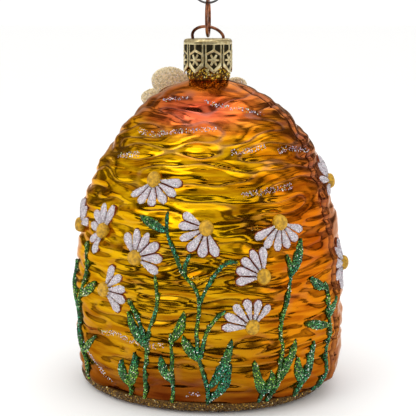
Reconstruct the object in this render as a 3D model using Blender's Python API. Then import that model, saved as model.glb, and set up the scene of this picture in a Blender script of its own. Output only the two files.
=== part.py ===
"""A blown-glass hanging ornament in the shape of a straw skep beehive.

The silvered glass body stands on its flat foot, with +Z up and the origin at the middle of
the foot, under the neck. The side with most of the daisies faces -Y and the bee sits on +Y.
A stamped metal cap with a wire loop pulls up out of the neck, a ring hangs in the loop, and
a wire tree hook hangs in the ring. The loop and the hook lie in the XZ plane. Lengths are in
metres and turns are in degrees, where a turn of 0 faces -Y and 90 faces +X.
"""

import math

import bmesh
import bpy
from mathutils import Matrix, Vector

GAP = 0.0003  # what touching pieces keep between them
TINY = 1e-5

# Glass body
HIVE_HALF_WIDTH = 0.046
HIVE_WIDEST_HEIGHT = 0.024
HIVE_DOME_TOP = 0.1035
HIVE_DEPTH_SHARE = 0.85  # depth over width
HIVE_DOME_POWER = 2.5
HIVE_FOOT_TUCK = 0.029  # height over which the foot curves in, past the foot itself
SEAM_TURN = 78  # the two mould seams, at this turn and opposite it, end the oval's long axis
FOOT_SHIFT = 0.0032  # the foot is blown a little to one side
FOOT_SHIFT_HEIGHT = 0.012
DOME_LEAN = 0.0013  # and the shoulder a little to the other
DOME_LEAN_BELOW = 0.0155  # where it leans most, below the dome's top
DOME_LEAN_SPREAD = 0.012
GLASS_WALL = 0.0012
NECK_RADIUS = 0.0064
NECK_WALL = 0.00065
NECK_LENGTH = 0.0126  # from the dome's top up
NECK_BLEND = 3
NECK_ROUND_FROM = 0.0095  # the cross-section turns from oval to round between these two
NECK_ROUND_TO = 0.0015  # distances below the dome's top
GLASS_SIDES = 48
GLASS_ROWS = 18
INNER_ROWS = 8
NECK_ROWS = 3

# Glitter bands
BAND_THICKNESS = 0.0004
NECK_BAND_BELOW = 0.0001  # from the dome's top down to the band's lower edge
NECK_BAND_HEIGHT = 0.0058
BASE_BAND_LOW = 0.0012  # on the glass; the band's outer face reaches lower, clear of the ground
BASE_BAND_TOP = 0.0040
BASE_BAND_THICKNESS = 0.0007

# Cap
CAP_PANELS = 8
CAP_FIT = 0.0003  # between the neck band and the cap's grooves
CAP_WALL = 0.00045
CAP_GROOVE = 0.0003
CAP_HEIGHT = 0.0086
CAP_POINT = 0.0025  # how far each panel's point reaches below the edge between panels
CAP_SHOULDER = 0.0008  # corner between the side and the top plate
CAP_SIDES = 48
CAP_PANEL_TURN = -4  # turn of the first panel's edge, in degrees

# Wire loop
LOOP_WIRE = 0.001
LOOP_FLARE = 0.0001  # how far the loop's sides stand outside its legs
LOOP_RISE = 0.0039  # top of the loop's centre line above the plate
LEG_FIT = 0.00025  # between the legs and the neck's bore
LEG_LENGTH = 0.022
WIRE_HOLE_FIT = 0.00035

# Ring and hook
RING_WIRE = 0.001
RING_RADIUS = 0.0059
HOOK_WIRE = 0.0007
HOOK_LOWER_RADIUS = 0.0052
HOOK_UPPER_RADIUS = 0.0072
HOOK_OPENING = 20  # how far each end stops short of closing its bend, in degrees

# Daisies
PETAL_LENGTH = 0.0088
PETAL_WIDTH = 0.0029
PETAL_ROOT = 0.0022
PETAL_GAP = 0.0003  # painted glass between one petal and the next
PETAL_THICKNESS = 0.0009
CENTRE_RADIUS = 0.0023
CENTRE_RISE = 0.0016

# Stems and leaves
STEM_WIDTH = 0.001
STEM_THICKNESS = 0.0008
LEAF_WIDTH = 0.0032
LEAF_THICKNESS = 0.0004
STEM_STEP = 0.003

# Bee
ABDOMEN = (0.0050, 0.0070, 0.0046)  # half across, half up, rise
THORAX = (0.0036, 0.0034, 0.0042)
HEAD = (0.0028, 0.0026, 0.0032)
WING_THICKNESS = 0.0026

COLOURS = {
    "glass": ((0.80, 0.42, 0.03), 0.12, 1.0),
    "gold_glitter": ((0.42, 0.27, 0.05), 0.45, 0.8),
    "cap": ((0.72, 0.58, 0.33), 0.32, 1.0),
    "copper": ((0.42, 0.20, 0.12), 0.30, 1.0),
    "steel": ((0.32, 0.32, 0.33), 0.30, 1.0),
    "petal": ((0.72, 0.66, 0.70), 0.55, 0.0),
    "centre": ((0.62, 0.36, 0.03), 0.60, 0.0),
    "green": ((0.05, 0.22, 0.07), 0.50, 0.2),
    "bee_yellow": ((0.80, 0.50, 0.05), 0.35, 0.0),
    "bee_dark": ((0.04, 0.03, 0.02), 0.35, 0.0),
    "wing": ((0.66, 0.52, 0.32), 0.50, 0.2),
}

# The flowers, stems, leaves and bee are laid out on a hive whose dome ends at this height, and
# their heights stretch with the dome.
PATTERN_DOME_TOP = 0.1035

# name of the fan: turn, height, first petal's direction, last petal's, petals.
# A direction of 0 points along +turn and 90 points up.
DAISIES = {
    "daisy_01": (-24, 0.0740, -137, -4, 6),
    "daisy_02": (-48, 0.0565, 68, 247, 6),
    "daisy_03": (-76, 0.0550, 20, 150, 5),
    "daisy_04": (-28, 0.0500, -28, 124, 6),
    "daisy_05": (-44, 0.0380, -45, 66, 5),
    "daisy_06": (2, 0.0605, 149, 289, 6),
    "daisy_07": (34, 0.0615, 211, 339, 6),
    "daisy_08": (25, 0.0455, 87, 190, 5),
    "daisy_09": (20, 0.0300, 50, 180, 6),
    "daisy_10": (88, 0.0700, 60, 200, 5),
    "daisy_11": (82, 0.0435, 100, 240, 5),
    "daisy_12": (122, 0.0590, 20, 165, 6),
    "daisy_13": (150, 0.0410, 20, 160, 6),
    "daisy_14": (-120, 0.0530, 30, 185, 6),
}

# Each sprig: its stems, as (turn, height) points from its foot up, and its leaves, as base and
# tip. The first stem is the one that the others grow from, and a height of GROUND is its foot.
GROUND = 0.0
SPRIGS = {
    "sprig_left": (
        [[(-24, GROUND), (-23, 0.014), (-22, 0.022), (-21, 0.028), (-18, 0.035), (-18, 0.041), (-19, 0.0455)],
         [(-22, 0.0215), (-25, 0.029), (-31, 0.0365)]],
        [((-22, 0.0215), (-31, 0.0325))],
    ),
    "sprig_small_left": (
        [[(-11, GROUND), (-12, 0.012), (-12, 0.022), (-12.5, 0.027)]],
        [((-12.5, 0.0240), (-7, 0.0345)), ((-12, 0.0110), (-16.5, 0.0195))],
    ),
    "sprig_middle": (
        [[(4.5, GROUND), (2, 0.0105), (-1, 0.0195), (-2, 0.0275), (-1, 0.0345), (-1.5, 0.040), (-4, 0.0435),
          (-8, 0.047), (-11, 0.0525), (-14, 0.0585), (-15, 0.065)],
         [(-6.8, 0.0458), (-6.5, 0.049), (-4.5, 0.0525)],
         [(-1.2, 0.0365), (3, 0.0435), (7, 0.048), (11, 0.0502), (14.5, 0.050)],
         [(-0.6, 0.0190), (2, 0.0280), (6, 0.033), (9.5, 0.0352)]],
        [((-0.6, 0.0185), (-7.5, 0.0265)), ((3, 0.0095), (12, 0.0260)), ((4.2, 0.0045), (11.5, 0.0185)),
         ((-14, 0.0590), (-27, 0.0630))],
    ),
    "leaf_pair_right": (
        [[(26.5, GROUND), (26.5, 0.009)]],
        [((26.5, 0.0070), (21, 0.0190)), ((26.5, 0.0070), (28, 0.0155))],
    ),
    "sprig_right": (
        [[(30.5, GROUND), (32, 0.014), (33, 0.023), (32.5, 0.027), (34, 0.034), (36, 0.040), (38, 0.045),
          (37.5, 0.0485), (36.5, 0.0515)]],
        [((38, 0.0445), (44.5, 0.0560)), ((31.5, 0.0110), (39.5, 0.0245))],
    ),
    "leaf_pair_far_right": (
        [[(45.5, GROUND), (45.5, 0.0105)]],
        [((45.5, 0.0085), (41.5, 0.0180)), ((45.5, 0.0085), (49.5, 0.0225))],
    ),
    "sprig_right_edge": (
        [[(59, GROUND), (60, 0.012), (60, 0.021), (60, 0.028), (59, 0.036), (59.5, 0.0405)]],
        [((59, 0.0385), (49, 0.0430)), ((60, 0.0265), (45.5, 0.0285)), ((60, 0.0290), (66, 0.0350))],
    ),
    "sprig_left_edge": (
        [[(-61, GROUND), (-65, 0.0140), (-72, 0.0205), (-69, 0.0285), (-61, 0.0385), (-60, 0.046),
          (-62, 0.0515)]],
        [((-65, 0.0325), (-51.5, 0.0395)), ((-70.5, 0.0270), (-77, 0.0430)), ((-65, 0.0130), (-52, 0.0210))],
    ),
    "leaf_pair_left": (
        [[(-31, GROUND), (-31, 0.0095)]],
        [((-31, 0.0075), (-34, 0.0165)), ((-31, 0.0075), (-28, 0.0195))],
    ),
    "sprig_back_right": (
        [[(116, GROUND), (114, 0.015), (117, 0.027), (121, 0.039), (122, 0.0525)],
         [(114.5, 0.0165), (106, 0.028), (101, 0.0345)]],
        [((114, 0.0120), (125, 0.0240)), ((120, 0.0360), (111, 0.0440))],
    ),
    "sprig_back_middle": (
        [[(156, GROUND), (154, 0.014), (151, 0.025), (150, 0.0345)]],
        [((154.5, 0.0120), (164, 0.0250)), ((152, 0.0200), (142, 0.0300))],
    ),
    "sprig_back_left": (
        [[(-116, GROUND), (-114, 0.015), (-117, 0.028), (-120, 0.040), (-120, 0.0465)],
         [(-114.5, 0.016), (-124, 0.026), (-130, 0.034)]],
        [((-114, 0.0110), (-103, 0.0240)), ((-119, 0.0360), (-109, 0.0440))],
    ),
}

# Each wing: its middle's turn, height and distance off the glass, its half length and half
# width, its tip's direction in the XZ plane and how far its top leans towards the neck.
WINGS = {
    "bee_wing_upper_left": ((-145.4, 0.0964, 0.0062), 0.0079, 0.0064, 163, 24),
    "bee_wing_lower_left": ((-144.6, 0.0903, 0.0074), 0.0079, 0.0046, 178, 26),
    "bee_wing_upper_right": ((163.1, 0.0971, 0.0027), 0.0058, 0.0042, 36, 24),
    "bee_wing_lower_right": ((163.0, 0.0910, 0.0030), 0.0064, 0.0037, 4, 26),
}
THORAX_PLACE = (192, 0.0920)
ABDOMEN_PLACE = (190, 0.0822)
HEAD_PLACE = (194, 0.0985)


NECK_TOP = HIVE_DOME_TOP + NECK_LENGTH
NECK_BAND_LOW = HIVE_DOME_TOP - NECK_BAND_BELOW
SPRIG_FOOT = BASE_BAND_TOP + GAP + STEM_WIDTH / 4  # clear of the base band's upper edge


def drawn(height):
    """A height of the pattern, stretched with the dome and kept above the base band."""
    return max(height * HIVE_DOME_TOP / PATTERN_DOME_TOP, SPRIG_FOOT)


def clear_scene():
    for old in list(bpy.data.objects):
        bpy.data.objects.remove(old, do_unlink=True)


def material(kind):
    made = bpy.data.materials.get(kind)
    if made:
        return made
    colour, roughness, metallic = COLOURS[kind]
    made = bpy.data.materials.new(kind)
    made.use_nodes = True
    shader = made.node_tree.nodes["Principled BSDF"]
    shader.inputs["Base Color"].default_value = (*colour, 1)
    shader.inputs["Roughness"].default_value = roughness
    shader.inputs["Metallic"].default_value = metallic
    return made


def object_of(name, points, faces, kind, parent=None):
    """A named object from points in world space, with its faces turned outwards."""
    mesh = bpy.data.meshes.new(name)
    mesh.from_pydata([tuple(p) for p in points], [], faces)
    work = bmesh.new()
    work.from_mesh(mesh)
    bmesh.ops.recalc_face_normals(work, faces=work.faces)
    if parent:
        bmesh.ops.translate(work, vec=-parent.location, verts=work.verts)
    work.to_mesh(mesh)
    work.free()
    mesh.materials.append(material(kind))
    mesh.shade_smooth()
    made = bpy.data.objects.new(name, mesh)
    made.parent = parent
    bpy.context.scene.collection.objects.link(made)
    return made


def pivot(name, place, parent=None):
    """An empty on a joint's axis, which the moving pieces hang from."""
    made = bpy.data.objects.new(name, None)
    made.empty_display_size = 0.004
    made.parent = parent
    made.location = Vector(place) - (world_place(parent) if parent else Vector())
    bpy.context.scene.collection.objects.link(made)
    return made


def world_place(empty):
    place = Vector()
    while empty:
        place += empty.location
        empty = empty.parent
    return place


# The glass body's outside


def smooth_step(value, low, high):
    share = min(max((value - low) / (high - low), 0), 1)
    return share * share * (3 - 2 * share)


def hive_half_width(height):
    """Half the width of the body, without the neck, at a height."""
    if height < HIVE_WIDEST_HEIGHT:
        share = (HIVE_WIDEST_HEIGHT - height) / HIVE_FOOT_TUCK
        return HIVE_HALF_WIDTH * max(1 - share**4, 0) ** (1 / 3.4)
    share = min((height - HIVE_WIDEST_HEIGHT) / (HIVE_DOME_TOP - HIVE_WIDEST_HEIGHT), 1)
    return HIVE_HALF_WIDTH * math.sqrt(1 - share**HIVE_DOME_POWER)


def half_width(height):
    """Half the width of the glass, with the neck flowing into the dome."""
    dome = hive_half_width(height)
    return (dome**NECK_BLEND + NECK_RADIUS**NECK_BLEND) ** (1 / NECK_BLEND)


def depth_share(height):
    round_by = smooth_step(height, HIVE_DOME_TOP - NECK_ROUND_FROM, HIVE_DOME_TOP - NECK_ROUND_TO)
    return HIVE_DEPTH_SHARE + (1 - HIVE_DEPTH_SHARE) * round_by


def side_shift(height):
    """How far the middle of the blown glass strays from the axis of the neck."""
    foot = max(0, 1 - height / FOOT_SHIFT_HEIGHT) ** 2
    above = height - (HIVE_DOME_TOP - DOME_LEAN_BELOW)
    lean = math.exp(-((above / DOME_LEAN_SPREAD) ** 2))
    return DOME_LEAN * lean - FOOT_SHIFT * foot


def oval(turn, height, reach):
    """The point of an oval at a height, whose half width is reach."""
    angle = math.radians(turn + 90 - SEAM_TURN)
    place = Vector((reach * math.sin(angle), -depth_share(height) * reach * math.cos(angle), height))
    place.rotate(Matrix.Rotation(math.radians(SEAM_TURN - 90), 3, "Z"))
    place.x += side_shift(height)
    return place


def on_glass(turn, height, lift=0.0):
    """A point at a distance from the glass, measured square to it."""
    here = oval(turn, height, half_width(height))
    along = oval(turn + 0.1, height, half_width(height)) - here
    above = height + TINY
    up = oval(turn, above, half_width(above)) - here
    return here + lift * along.cross(up).normalized()


def slide_over(turn, height, across, up):
    """The turn and height reached by going a distance across and up over the glass."""
    here = on_glass(turn, height)
    per_degree = (on_glass(turn + 0.5, height) - here).length / 0.5
    climb = 0.0005
    per_height = (on_glass(turn, height + climb) - here).length / climb
    return turn + across / per_degree, height + up / per_height


# Glass, bands and cap: closed surfaces made of rings of points


def bridged(rings, closed_ends=True):
    """Points and faces of rings of equal length joined in order, with a point at each end."""
    sides = len(rings[0])
    points = [p for ring in rings for p in ring]
    faces = []
    for row in range(len(rings) - 1):
        for i in range(sides):
            j = (i + 1) % sides
            low, high = row * sides, (row + 1) * sides
            faces.append((low + i, low + j, high + j, high + i))
    if closed_ends:
        for row, ring in ((0, rings[0]), (len(rings) - 1, rings[-1])):
            middle = sum(ring, Vector()) / sides
            points.append(middle)
            faces += [
                (row * sides + i, row * sides + (i + 1) % sides, len(points) - 1)
                for i in range(sides)
            ]
    else:
        last = (len(rings) - 1) * sides
        faces += [(last + i, last + (i + 1) % sides, (i + 1) % sides, i) for i in range(sides)]
    return points, faces


def level_ring(height, reach, sides):
    return [oval(360 * i / sides, height, reach) for i in range(sides)]


def glass_heights(low, high, rows):
    """Heights that crowd together at the foot and at the shoulder, where the glass curves."""
    return [
        low + (high - low) * (1 - math.cos(math.pi * i / rows)) / 2 for i in range(rows + 1)
    ]


def glass_shell():
    outside = [
        level_ring(height, half_width(height), GLASS_SIDES)
        for height in glass_heights(0, HIVE_DOME_TOP, GLASS_ROWS)
    ]
    rise = (NECK_TOP - HIVE_DOME_TOP) / NECK_ROWS
    neck = [
        level_ring(HIVE_DOME_TOP + rise * (i + 1), NECK_RADIUS, GLASS_SIDES)
        for i in range(NECK_ROWS)
    ]
    bore = NECK_RADIUS - NECK_WALL
    inner_top = HIVE_DOME_TOP - GLASS_WALL
    neck += [level_ring(NECK_TOP, bore, GLASS_SIDES), level_ring(HIVE_DOME_TOP, bore, GLASS_SIDES)]
    inside = []
    for height in reversed(glass_heights(GLASS_WALL, inner_top, INNER_ROWS)):
        reach = max(half_width(height) - GLASS_WALL / 0.7, bore)
        inside.append(level_ring(height, reach, GLASS_SIDES))
    points, faces = bridged(outside + neck + inside)
    return object_of("glass_shell", points, faces, "glass")


def glitter_band(name, low, top, rows, lift, thickness):
    """A raised band round the glass, with the same gap to it all the way."""
    heights = [low + (top - low) * i / rows for i in range(rows + 1)]
    turns = [360 * i / GLASS_SIDES for i in range(GLASS_SIDES)]
    outer = [[on_glass(turn, h, lift + thickness) for turn in turns] for h in heights]
    inner = [[on_glass(turn, h, lift) for turn in turns] for h in reversed(heights)]
    points, faces = bridged(outer + inner, closed_ends=False)
    return object_of(name, points, faces, "gold_glitter")


LEG_ACROSS = NECK_RADIUS - NECK_WALL - LEG_FIT - LOOP_WIRE / 2
LOOP_SPREAD = LEG_ACROSS + LOOP_FLARE  # from the middle to each side of the loop
CAP_BORE = NECK_RADIUS + GAP + BAND_THICKNESS + CAP_FIT
CAP_RADIUS = CAP_BORE + CAP_WALL + CAP_GROOVE
PLATE_UNDER = NECK_TOP + GAP
PLATE_TOP = PLATE_UNDER + CAP_WALL
CAP_EDGE = PLATE_TOP - CAP_HEIGHT


def panel_share(turn):
    """0 at the edge between two panels and 1 in the middle of a panel."""
    width = 360 / CAP_PANELS
    place = ((turn - CAP_PANEL_TURN) % width) / width
    return 1 - abs(2 * place - 1)


def cap_ring(height, inwards):
    """A ring of the fluted side; the flutes fade where the corner begins."""
    ring = []
    for i in range(CAP_SIDES):
        turn = CAP_PANEL_TURN + 360 * i / CAP_SIDES
        groove = CAP_GROOVE * (1 - min(3 * panel_share(turn), 1))
        reach = CAP_RADIUS - groove - inwards
        angle = math.radians(turn)
        ring.append(Vector((reach * math.sin(angle), -reach * math.cos(angle), height)))
    return ring


def cap_edge_ring(inwards):
    ring = cap_ring(CAP_EDGE, inwards)
    for i, point in enumerate(ring):
        turn = CAP_PANEL_TURN + 360 * i / CAP_SIDES
        point.z -= CAP_POINT * panel_share(turn)
    return ring


def hanger_cap(parent):
    side_top = PLATE_TOP - CAP_SHOULDER
    lean = CAP_SHOULDER * (1 - math.sqrt(0.5))
    rings = [
        cap_edge_ring(0),
        cap_ring(CAP_EDGE + CAP_POINT, 0),
        cap_ring(side_top, 0),
        cap_ring(side_top + CAP_SHOULDER - lean, lean),
        cap_ring(PLATE_TOP, CAP_SHOULDER),
    ]
    outside = rings + [cap_ring(PLATE_TOP, CAP_RADIUS * 0.55)]
    inside = [
        cap_ring(PLATE_UNDER, CAP_RADIUS * 0.55),
        cap_ring(PLATE_UNDER, CAP_SHOULDER + CAP_WALL / 2),
        cap_ring(side_top - CAP_WALL / 2, CAP_WALL),
        cap_ring(CAP_EDGE + CAP_POINT, CAP_WALL),
        cap_edge_ring(CAP_WALL),
    ]
    # One closed surface: from the edge up the outside, over the plate, and down the inside.
    sides = CAP_SIDES
    points, faces = bridged(outside, closed_ends=False)
    faces = faces[: (len(outside) - 1) * sides]
    start = len(points)
    more, inner_faces = bridged(inside, closed_ends=False)
    points += more
    inner_faces = inner_faces[: (len(inside) - 1) * sides]
    faces += [tuple(start + v for v in face) for face in inner_faces]
    top_row, under_row = (len(outside) - 1) * sides, start
    for row, height in ((top_row, PLATE_TOP), (under_row, PLATE_UNDER)):
        points.append(Vector((0, 0, height)))
        faces += [(row + i, row + (i + 1) % sides, len(points) - 1) for i in range(sides)]
    last = start + (len(inside) - 1) * sides
    faces += [(i, (i + 1) % sides, last + (i + 1) % sides, last + i) for i in range(sides)]
    cap = object_of("hanger_cap", points, faces, "cap", parent)
    for side in (-1, 1):
        drill_wire_hole(cap, side * LOOP_SPREAD, parent)
    return cap


def drill_wire_hole(cap, across, parent):
    work = bmesh.new()
    radius = LOOP_WIRE / 2 + WIRE_HOLE_FIT
    depth = 4 * CAP_WALL
    bmesh.ops.create_cone(
        work, cap_ends=True, segments=14, radius1=radius, radius2=radius, depth=depth,
        matrix=Matrix.Rotation(math.radians(5), 4, "Z"),
    )
    middle = Vector((across, 0, (PLATE_TOP + PLATE_UNDER) / 2)) - world_place(parent)
    bmesh.ops.translate(work, vec=middle, verts=work.verts)
    mesh = bpy.data.meshes.new("wire_hole_cutter")
    work.to_mesh(mesh)
    work.free()
    cutter = bpy.data.objects.new("wire_hole_cutter", mesh)
    cutter.parent = parent
    cutter.hide_render = True
    cutter.display_type = "WIRE"
    bpy.context.scene.collection.objects.link(cutter)
    cut = cap.modifiers.new("wire hole", "BOOLEAN")
    cut.operation = "DIFFERENCE"
    cut.object = cutter


# Wire: curves with a round section


def wire(name, path, thickness, kind, parent, cyclic=False):
    curve = bpy.data.curves.new(name, "CURVE")
    curve.dimensions = "3D"
    curve.bevel_depth = thickness / 2
    curve.bevel_resolution = 2
    curve.use_fill_caps = True
    spline = curve.splines.new("POLY")
    spline.points.add(len(path) - 1)
    offset = world_place(parent)
    for point, place in zip(spline.points, path):
        point.co = (*(Vector(place) - offset), 1)
    spline.use_cyclic_u = cyclic
    curve.materials.append(material(kind))
    made = bpy.data.objects.new(name, curve)
    made.parent = parent
    bpy.context.scene.collection.objects.link(made)
    return made


def arc(middle_x, middle_z, radius, start, end, steps, stretch=1.0):
    """Points of an arc in the XZ plane; 0 degrees points along +X and 90 points up."""
    points = []
    for i in range(steps + 1):
        angle = math.radians(start + (end - start) * i / steps)
        rise = stretch * radius * math.sin(angle)
        points.append(Vector((middle_x + radius * math.cos(angle), 0, middle_z + rise)))
    return points


def cap_wire_loop(parent):
    """Two straight legs in the neck, spread to a wider, low loop over the plate."""
    bend = PLATE_TOP + LOOP_WIRE / 2
    stretch = (LOOP_RISE - LOOP_WIRE / 2) / LOOP_SPREAD
    loop = arc(0, bend, LOOP_SPREAD, 180, 0, 14, stretch)
    left = [Vector((-LEG_ACROSS, 0, height)) for height in (PLATE_TOP - LEG_LENGTH, NECK_TOP)]
    right = [Vector((-place.x, 0, place.z)) for place in reversed(left)]
    path = [*left, *loop, *right]
    return wire("cap_wire_loop", path, LOOP_WIRE, "copper", parent)


RING_LOW = PLATE_TOP + GAP + RING_WIRE / 2
RING_MIDDLE = RING_LOW + RING_RADIUS
RING_HIGH = RING_MIDDLE + RING_RADIUS
HOOK_LOW = RING_HIGH - (RING_WIRE + HOOK_WIRE) / 2 - GAP
HOOK_LOWER_MIDDLE = HOOK_LOW + HOOK_LOWER_RADIUS
HOOK_UPPER_MIDDLE = HOOK_LOWER_MIDDLE + HOOK_LOWER_RADIUS + HOOK_UPPER_RADIUS


def hanger_ring(parent):
    steps = 20
    path = []
    for i in range(steps):
        angle = 2 * math.pi * i / steps
        place = (0, RING_RADIUS * math.sin(angle), RING_MIDDLE + RING_RADIUS * math.cos(angle))
        path.append(Vector(place))
    return wire("hanger_ring", path, RING_WIRE, "copper", parent, cyclic=True)


def tree_hook(parent):
    """An S of two bends that meet in the middle, each open on one side."""
    lower = arc(0, HOOK_LOWER_MIDDLE, HOOK_LOWER_RADIUS, 180 - HOOK_OPENING, 450, 12)
    upper = arc(0, HOOK_UPPER_MIDDLE, HOOK_UPPER_RADIUS, 270, HOOK_OPENING, 12)
    return wire("tree_hook", lower + upper[1:], HOOK_WIRE, "steel", parent)


# Relief: thin closed pieces that follow the glass


def relief(name, places, faces, low, lifts, kind):
    """A piece over the glass. places are (turn, height), and lifts are its top surface's."""
    count = len(places)
    points = [on_glass(t, h, lift) for (t, h), lift in zip(places, lifts)]
    points += [on_glass(t, h, low) for t, h in places]
    shared = {}
    for face in faces:
        for a, b in zip(face, (*face[1:], face[0])):
            shared.setdefault(frozenset((a, b)), []).append((a, b))
    rim = [ends[0] for ends in shared.values() if len(ends) == 1]
    closed = list(faces)
    closed += [tuple(v + count for v in reversed(face)) for face in faces]
    closed += [(b, a, a + count, b + count) for a, b in rim]
    return object_of(name, points, closed, kind)


def petal_rows(direction, step):
    """The outline of one petal: (left, middle, right) points for each row, then the tip.

    step is the angle to the next petal. A petal is never wider than the room between its two
    neighbours, less the gap that the glass shows through.
    """
    along = Vector((math.cos(direction), math.sin(direction)))
    side = Vector((-along.y, along.x))

    def half_at(reach, width):
        return side * min(width * PETAL_WIDTH, reach * math.tan(step / 2) - PETAL_GAP / 2)

    rows = []
    for reach, width in ((0.55, 0.44), (0.85, 0.46)):
        middle = along * (reach * PETAL_LENGTH)
        half = half_at(reach * PETAL_LENGTH, width)
        rows.append((middle + half, middle, middle - half))
    root = along * PETAL_ROOT
    half = half_at(PETAL_ROOT, 0.14)
    return (root + half, root - half), rows, along * PETAL_LENGTH


def petal_fan(name, turn, drawn_height, first, last, count):
    """A fan of petals on one hub, made as one piece."""
    height = drawn(drawn_height)
    flat, faces, lifts = [Vector((0, 0))], [], [0.8]
    roots = []
    step = math.radians((last - first) / (count - 1))
    for i in range(count):
        root, rows, tip = petal_rows(math.radians(last) - i * step, step)
        start = len(flat)
        flat += [*root, *[p for row in rows for p in row], tip]
        lifts += [0.8, 0.8] + [0.6, 1.0, 0.6] * len(rows) + [0.5]
        left, right = start, start + 1
        a, b, c = start + 2, start + 3, start + 4
        faces += [(0, right, left), (right, c, b, a, left)]
        for _ in rows[1:]:
            faces += [(a, b, b + 3, a + 3), (b, c, c + 3, b + 3)]
            a, b, c = a + 3, b + 3, c + 3
        faces += [(a, b, len(flat) - 1), (b, c, len(flat) - 1)]
        roots.append((left, right))
    for (_, right), (left, _) in zip(roots, roots[1:]):
        faces.append((0, left, right))
    places = [slide_over(turn, height, p.x, p.y) for p in flat]
    tops = [GAP + share * PETAL_THICKNESS for share in lifts]
    return relief(name, places, faces, GAP, tops, "petal")


def dome(name, turn, drawn_height, half_across, half_up, rise, low, kind, sides=10):
    """A low dome over the glass, with an oval outline."""
    height = drawn(drawn_height)
    rings = ((1.0, 0.3), (0.72, 0.8))
    places, faces, lifts = [], [], []
    for reach, share in rings:
        for i in range(sides):
            angle = 2 * math.pi * i / sides
            across = reach * half_across * math.cos(angle)
            up = reach * half_up * math.sin(angle)
            places.append(slide_over(turn, height, across, up))
            lifts.append(low + share * rise)
    places.append((turn, height))
    lifts.append(low + rise)
    for row in range(len(rings) - 1):
        for i in range(sides):
            j = (i + 1) % sides
            a, b = row * sides, (row + 1) * sides
            faces.append((a + i, a + j, b + j, b + i))
    inner = (len(rings) - 1) * sides
    faces += [(inner + i, inner + (i + 1) % sides, len(places) - 1) for i in range(sides)]
    return relief(name, places, faces, low, lifts, kind)


def smooth_path(points):
    """A smooth curve through drawn points, as (turn, height) places about STEM_STEP apart."""
    points = [(turn, drawn(height)) for turn, height in points]
    ends = [points[0], *points, points[-1]]
    path = []
    for before, a, b, after in zip(ends, ends[1:], ends[2:], ends[3:]):
        span = (on_glass(*b) - on_glass(*a)).length
        steps = max(1, round(span / STEM_STEP))
        for i in range(steps):
            s = i / steps
            path.append(tuple(hermite(before[k], a[k], b[k], after[k], s) for k in (0, 1)))
    return path + [points[-1]]


def hermite(before, a, b, after, s):
    leave, arrive = (b - before) / 2, (after - a) / 2
    return (
        (2 * s**3 - 3 * s**2 + 1) * a
        + (s**3 - 2 * s**2 + s) * leave
        + (3 * s**2 - 2 * s**3) * b
        + (s**3 - s**2) * arrive
    )


def heading(path, i):
    """Unit direction of a path of places at point i, in distances across and up."""
    a, b = path[max(i - 1, 0)], path[min(i + 1, len(path) - 1)]
    turn_length = (on_glass(path[i][0] + 0.5, path[i][1]) - on_glass(*path[i])).length / 0.5
    return Vector(((b[0] - a[0]) * turn_length, b[1] - a[1])).normalized()


def stem(name, points, low, top):
    path = smooth_path(points)
    places, faces = [], []
    for i, place in enumerate(path):
        ahead = heading(path, i)
        side = Vector((-ahead.y, ahead.x)) * STEM_WIDTH / 2
        places += [slide_over(*place, side.x, side.y), slide_over(*place, -side.x, -side.y)]
        if i:
            n = 2 * i
            faces.append((n - 2, n - 1, n + 1, n))
    return relief(name, places, faces, low, [top] * len(places), "green")


def leaf(name, base, tip, low, top):
    (turn, height), (tip_turn, tip_height) = base, tip
    path = [
        (turn + (tip_turn - turn) * s, drawn(height + (tip_height - height) * s))
        for s in (0, 0.3, 0.6, 0.85, 1)
    ]
    widths = (0.18, 0.46, 0.5, 0.26)
    places, faces = [], []
    for i, width in enumerate(widths):
        ahead = heading(path, i)
        side = Vector((-ahead.y, ahead.x)) * width * LEAF_WIDTH
        places += [slide_over(*path[i], side.x, side.y), path[i], slide_over(*path[i], -side.x, -side.y)]
        if i:
            n = 3 * i
            faces += [(n - 3, n - 2, n + 1, n), (n - 2, n - 1, n + 2, n + 1)]
    places.append(path[-1])
    n = 3 * (len(widths) - 1)
    faces += [(n, n + 1, n + 3), (n + 1, n + 2, n + 3)]
    return relief(name, places, faces, low, [top] * len(places), "green")


def sprig(name, stems, leaves):
    """Stems and leaves joined into one piece. Leaves and side stems lie inside the main stem's
    thickness, so that the union cuts only through its sides."""
    main = stem(name, stems[0], GAP, GAP + STEM_THICKNESS)
    inset = 0.00012
    added = []
    for i, points in enumerate(stems[1:]):
        own = inset * (1 + 0.3 * i)
        added.append(stem(f"{name}_side_{i}", points, GAP + own, GAP + STEM_THICKNESS - own))
    for i, (base, tip) in enumerate(leaves):
        low = GAP + (STEM_THICKNESS - LEAF_THICKNESS) / 2 + 0.00002 * i
        added.append(leaf(f"{name}_leaf_{i}", base, tip, low, low + LEAF_THICKNESS))
    for other in added:
        other.hide_render = True
        other.display_type = "WIRE"
        join = main.modifiers.new(f"join {other.name}", "BOOLEAN")
        join.operation = "UNION"
        join.object = other
    return main


def wing(name, place, half_length, half_width_, direction, lean):
    """A flattened lobe that stands off the shoulder."""
    work = bmesh.new()
    bmesh.ops.create_uvsphere(work, u_segments=14, v_segments=8, radius=1)
    turn, height, lift = place
    shape = (
        Matrix.Translation(on_glass(turn, drawn(height), lift))
        @ Matrix.Rotation(math.radians(lean), 4, "X")
        @ Matrix.Rotation(math.radians(-direction), 4, "Y")
        @ Matrix.Diagonal((half_length, WING_THICKNESS / 2, half_width_, 1))
    )
    bmesh.ops.transform(work, matrix=shape, verts=work.verts)
    points = [v.co.copy() for v in work.verts]
    faces = [tuple(v.index for v in f.verts) for f in work.faces]
    work.free()
    return object_of(name, points, faces, "wing")


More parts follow.
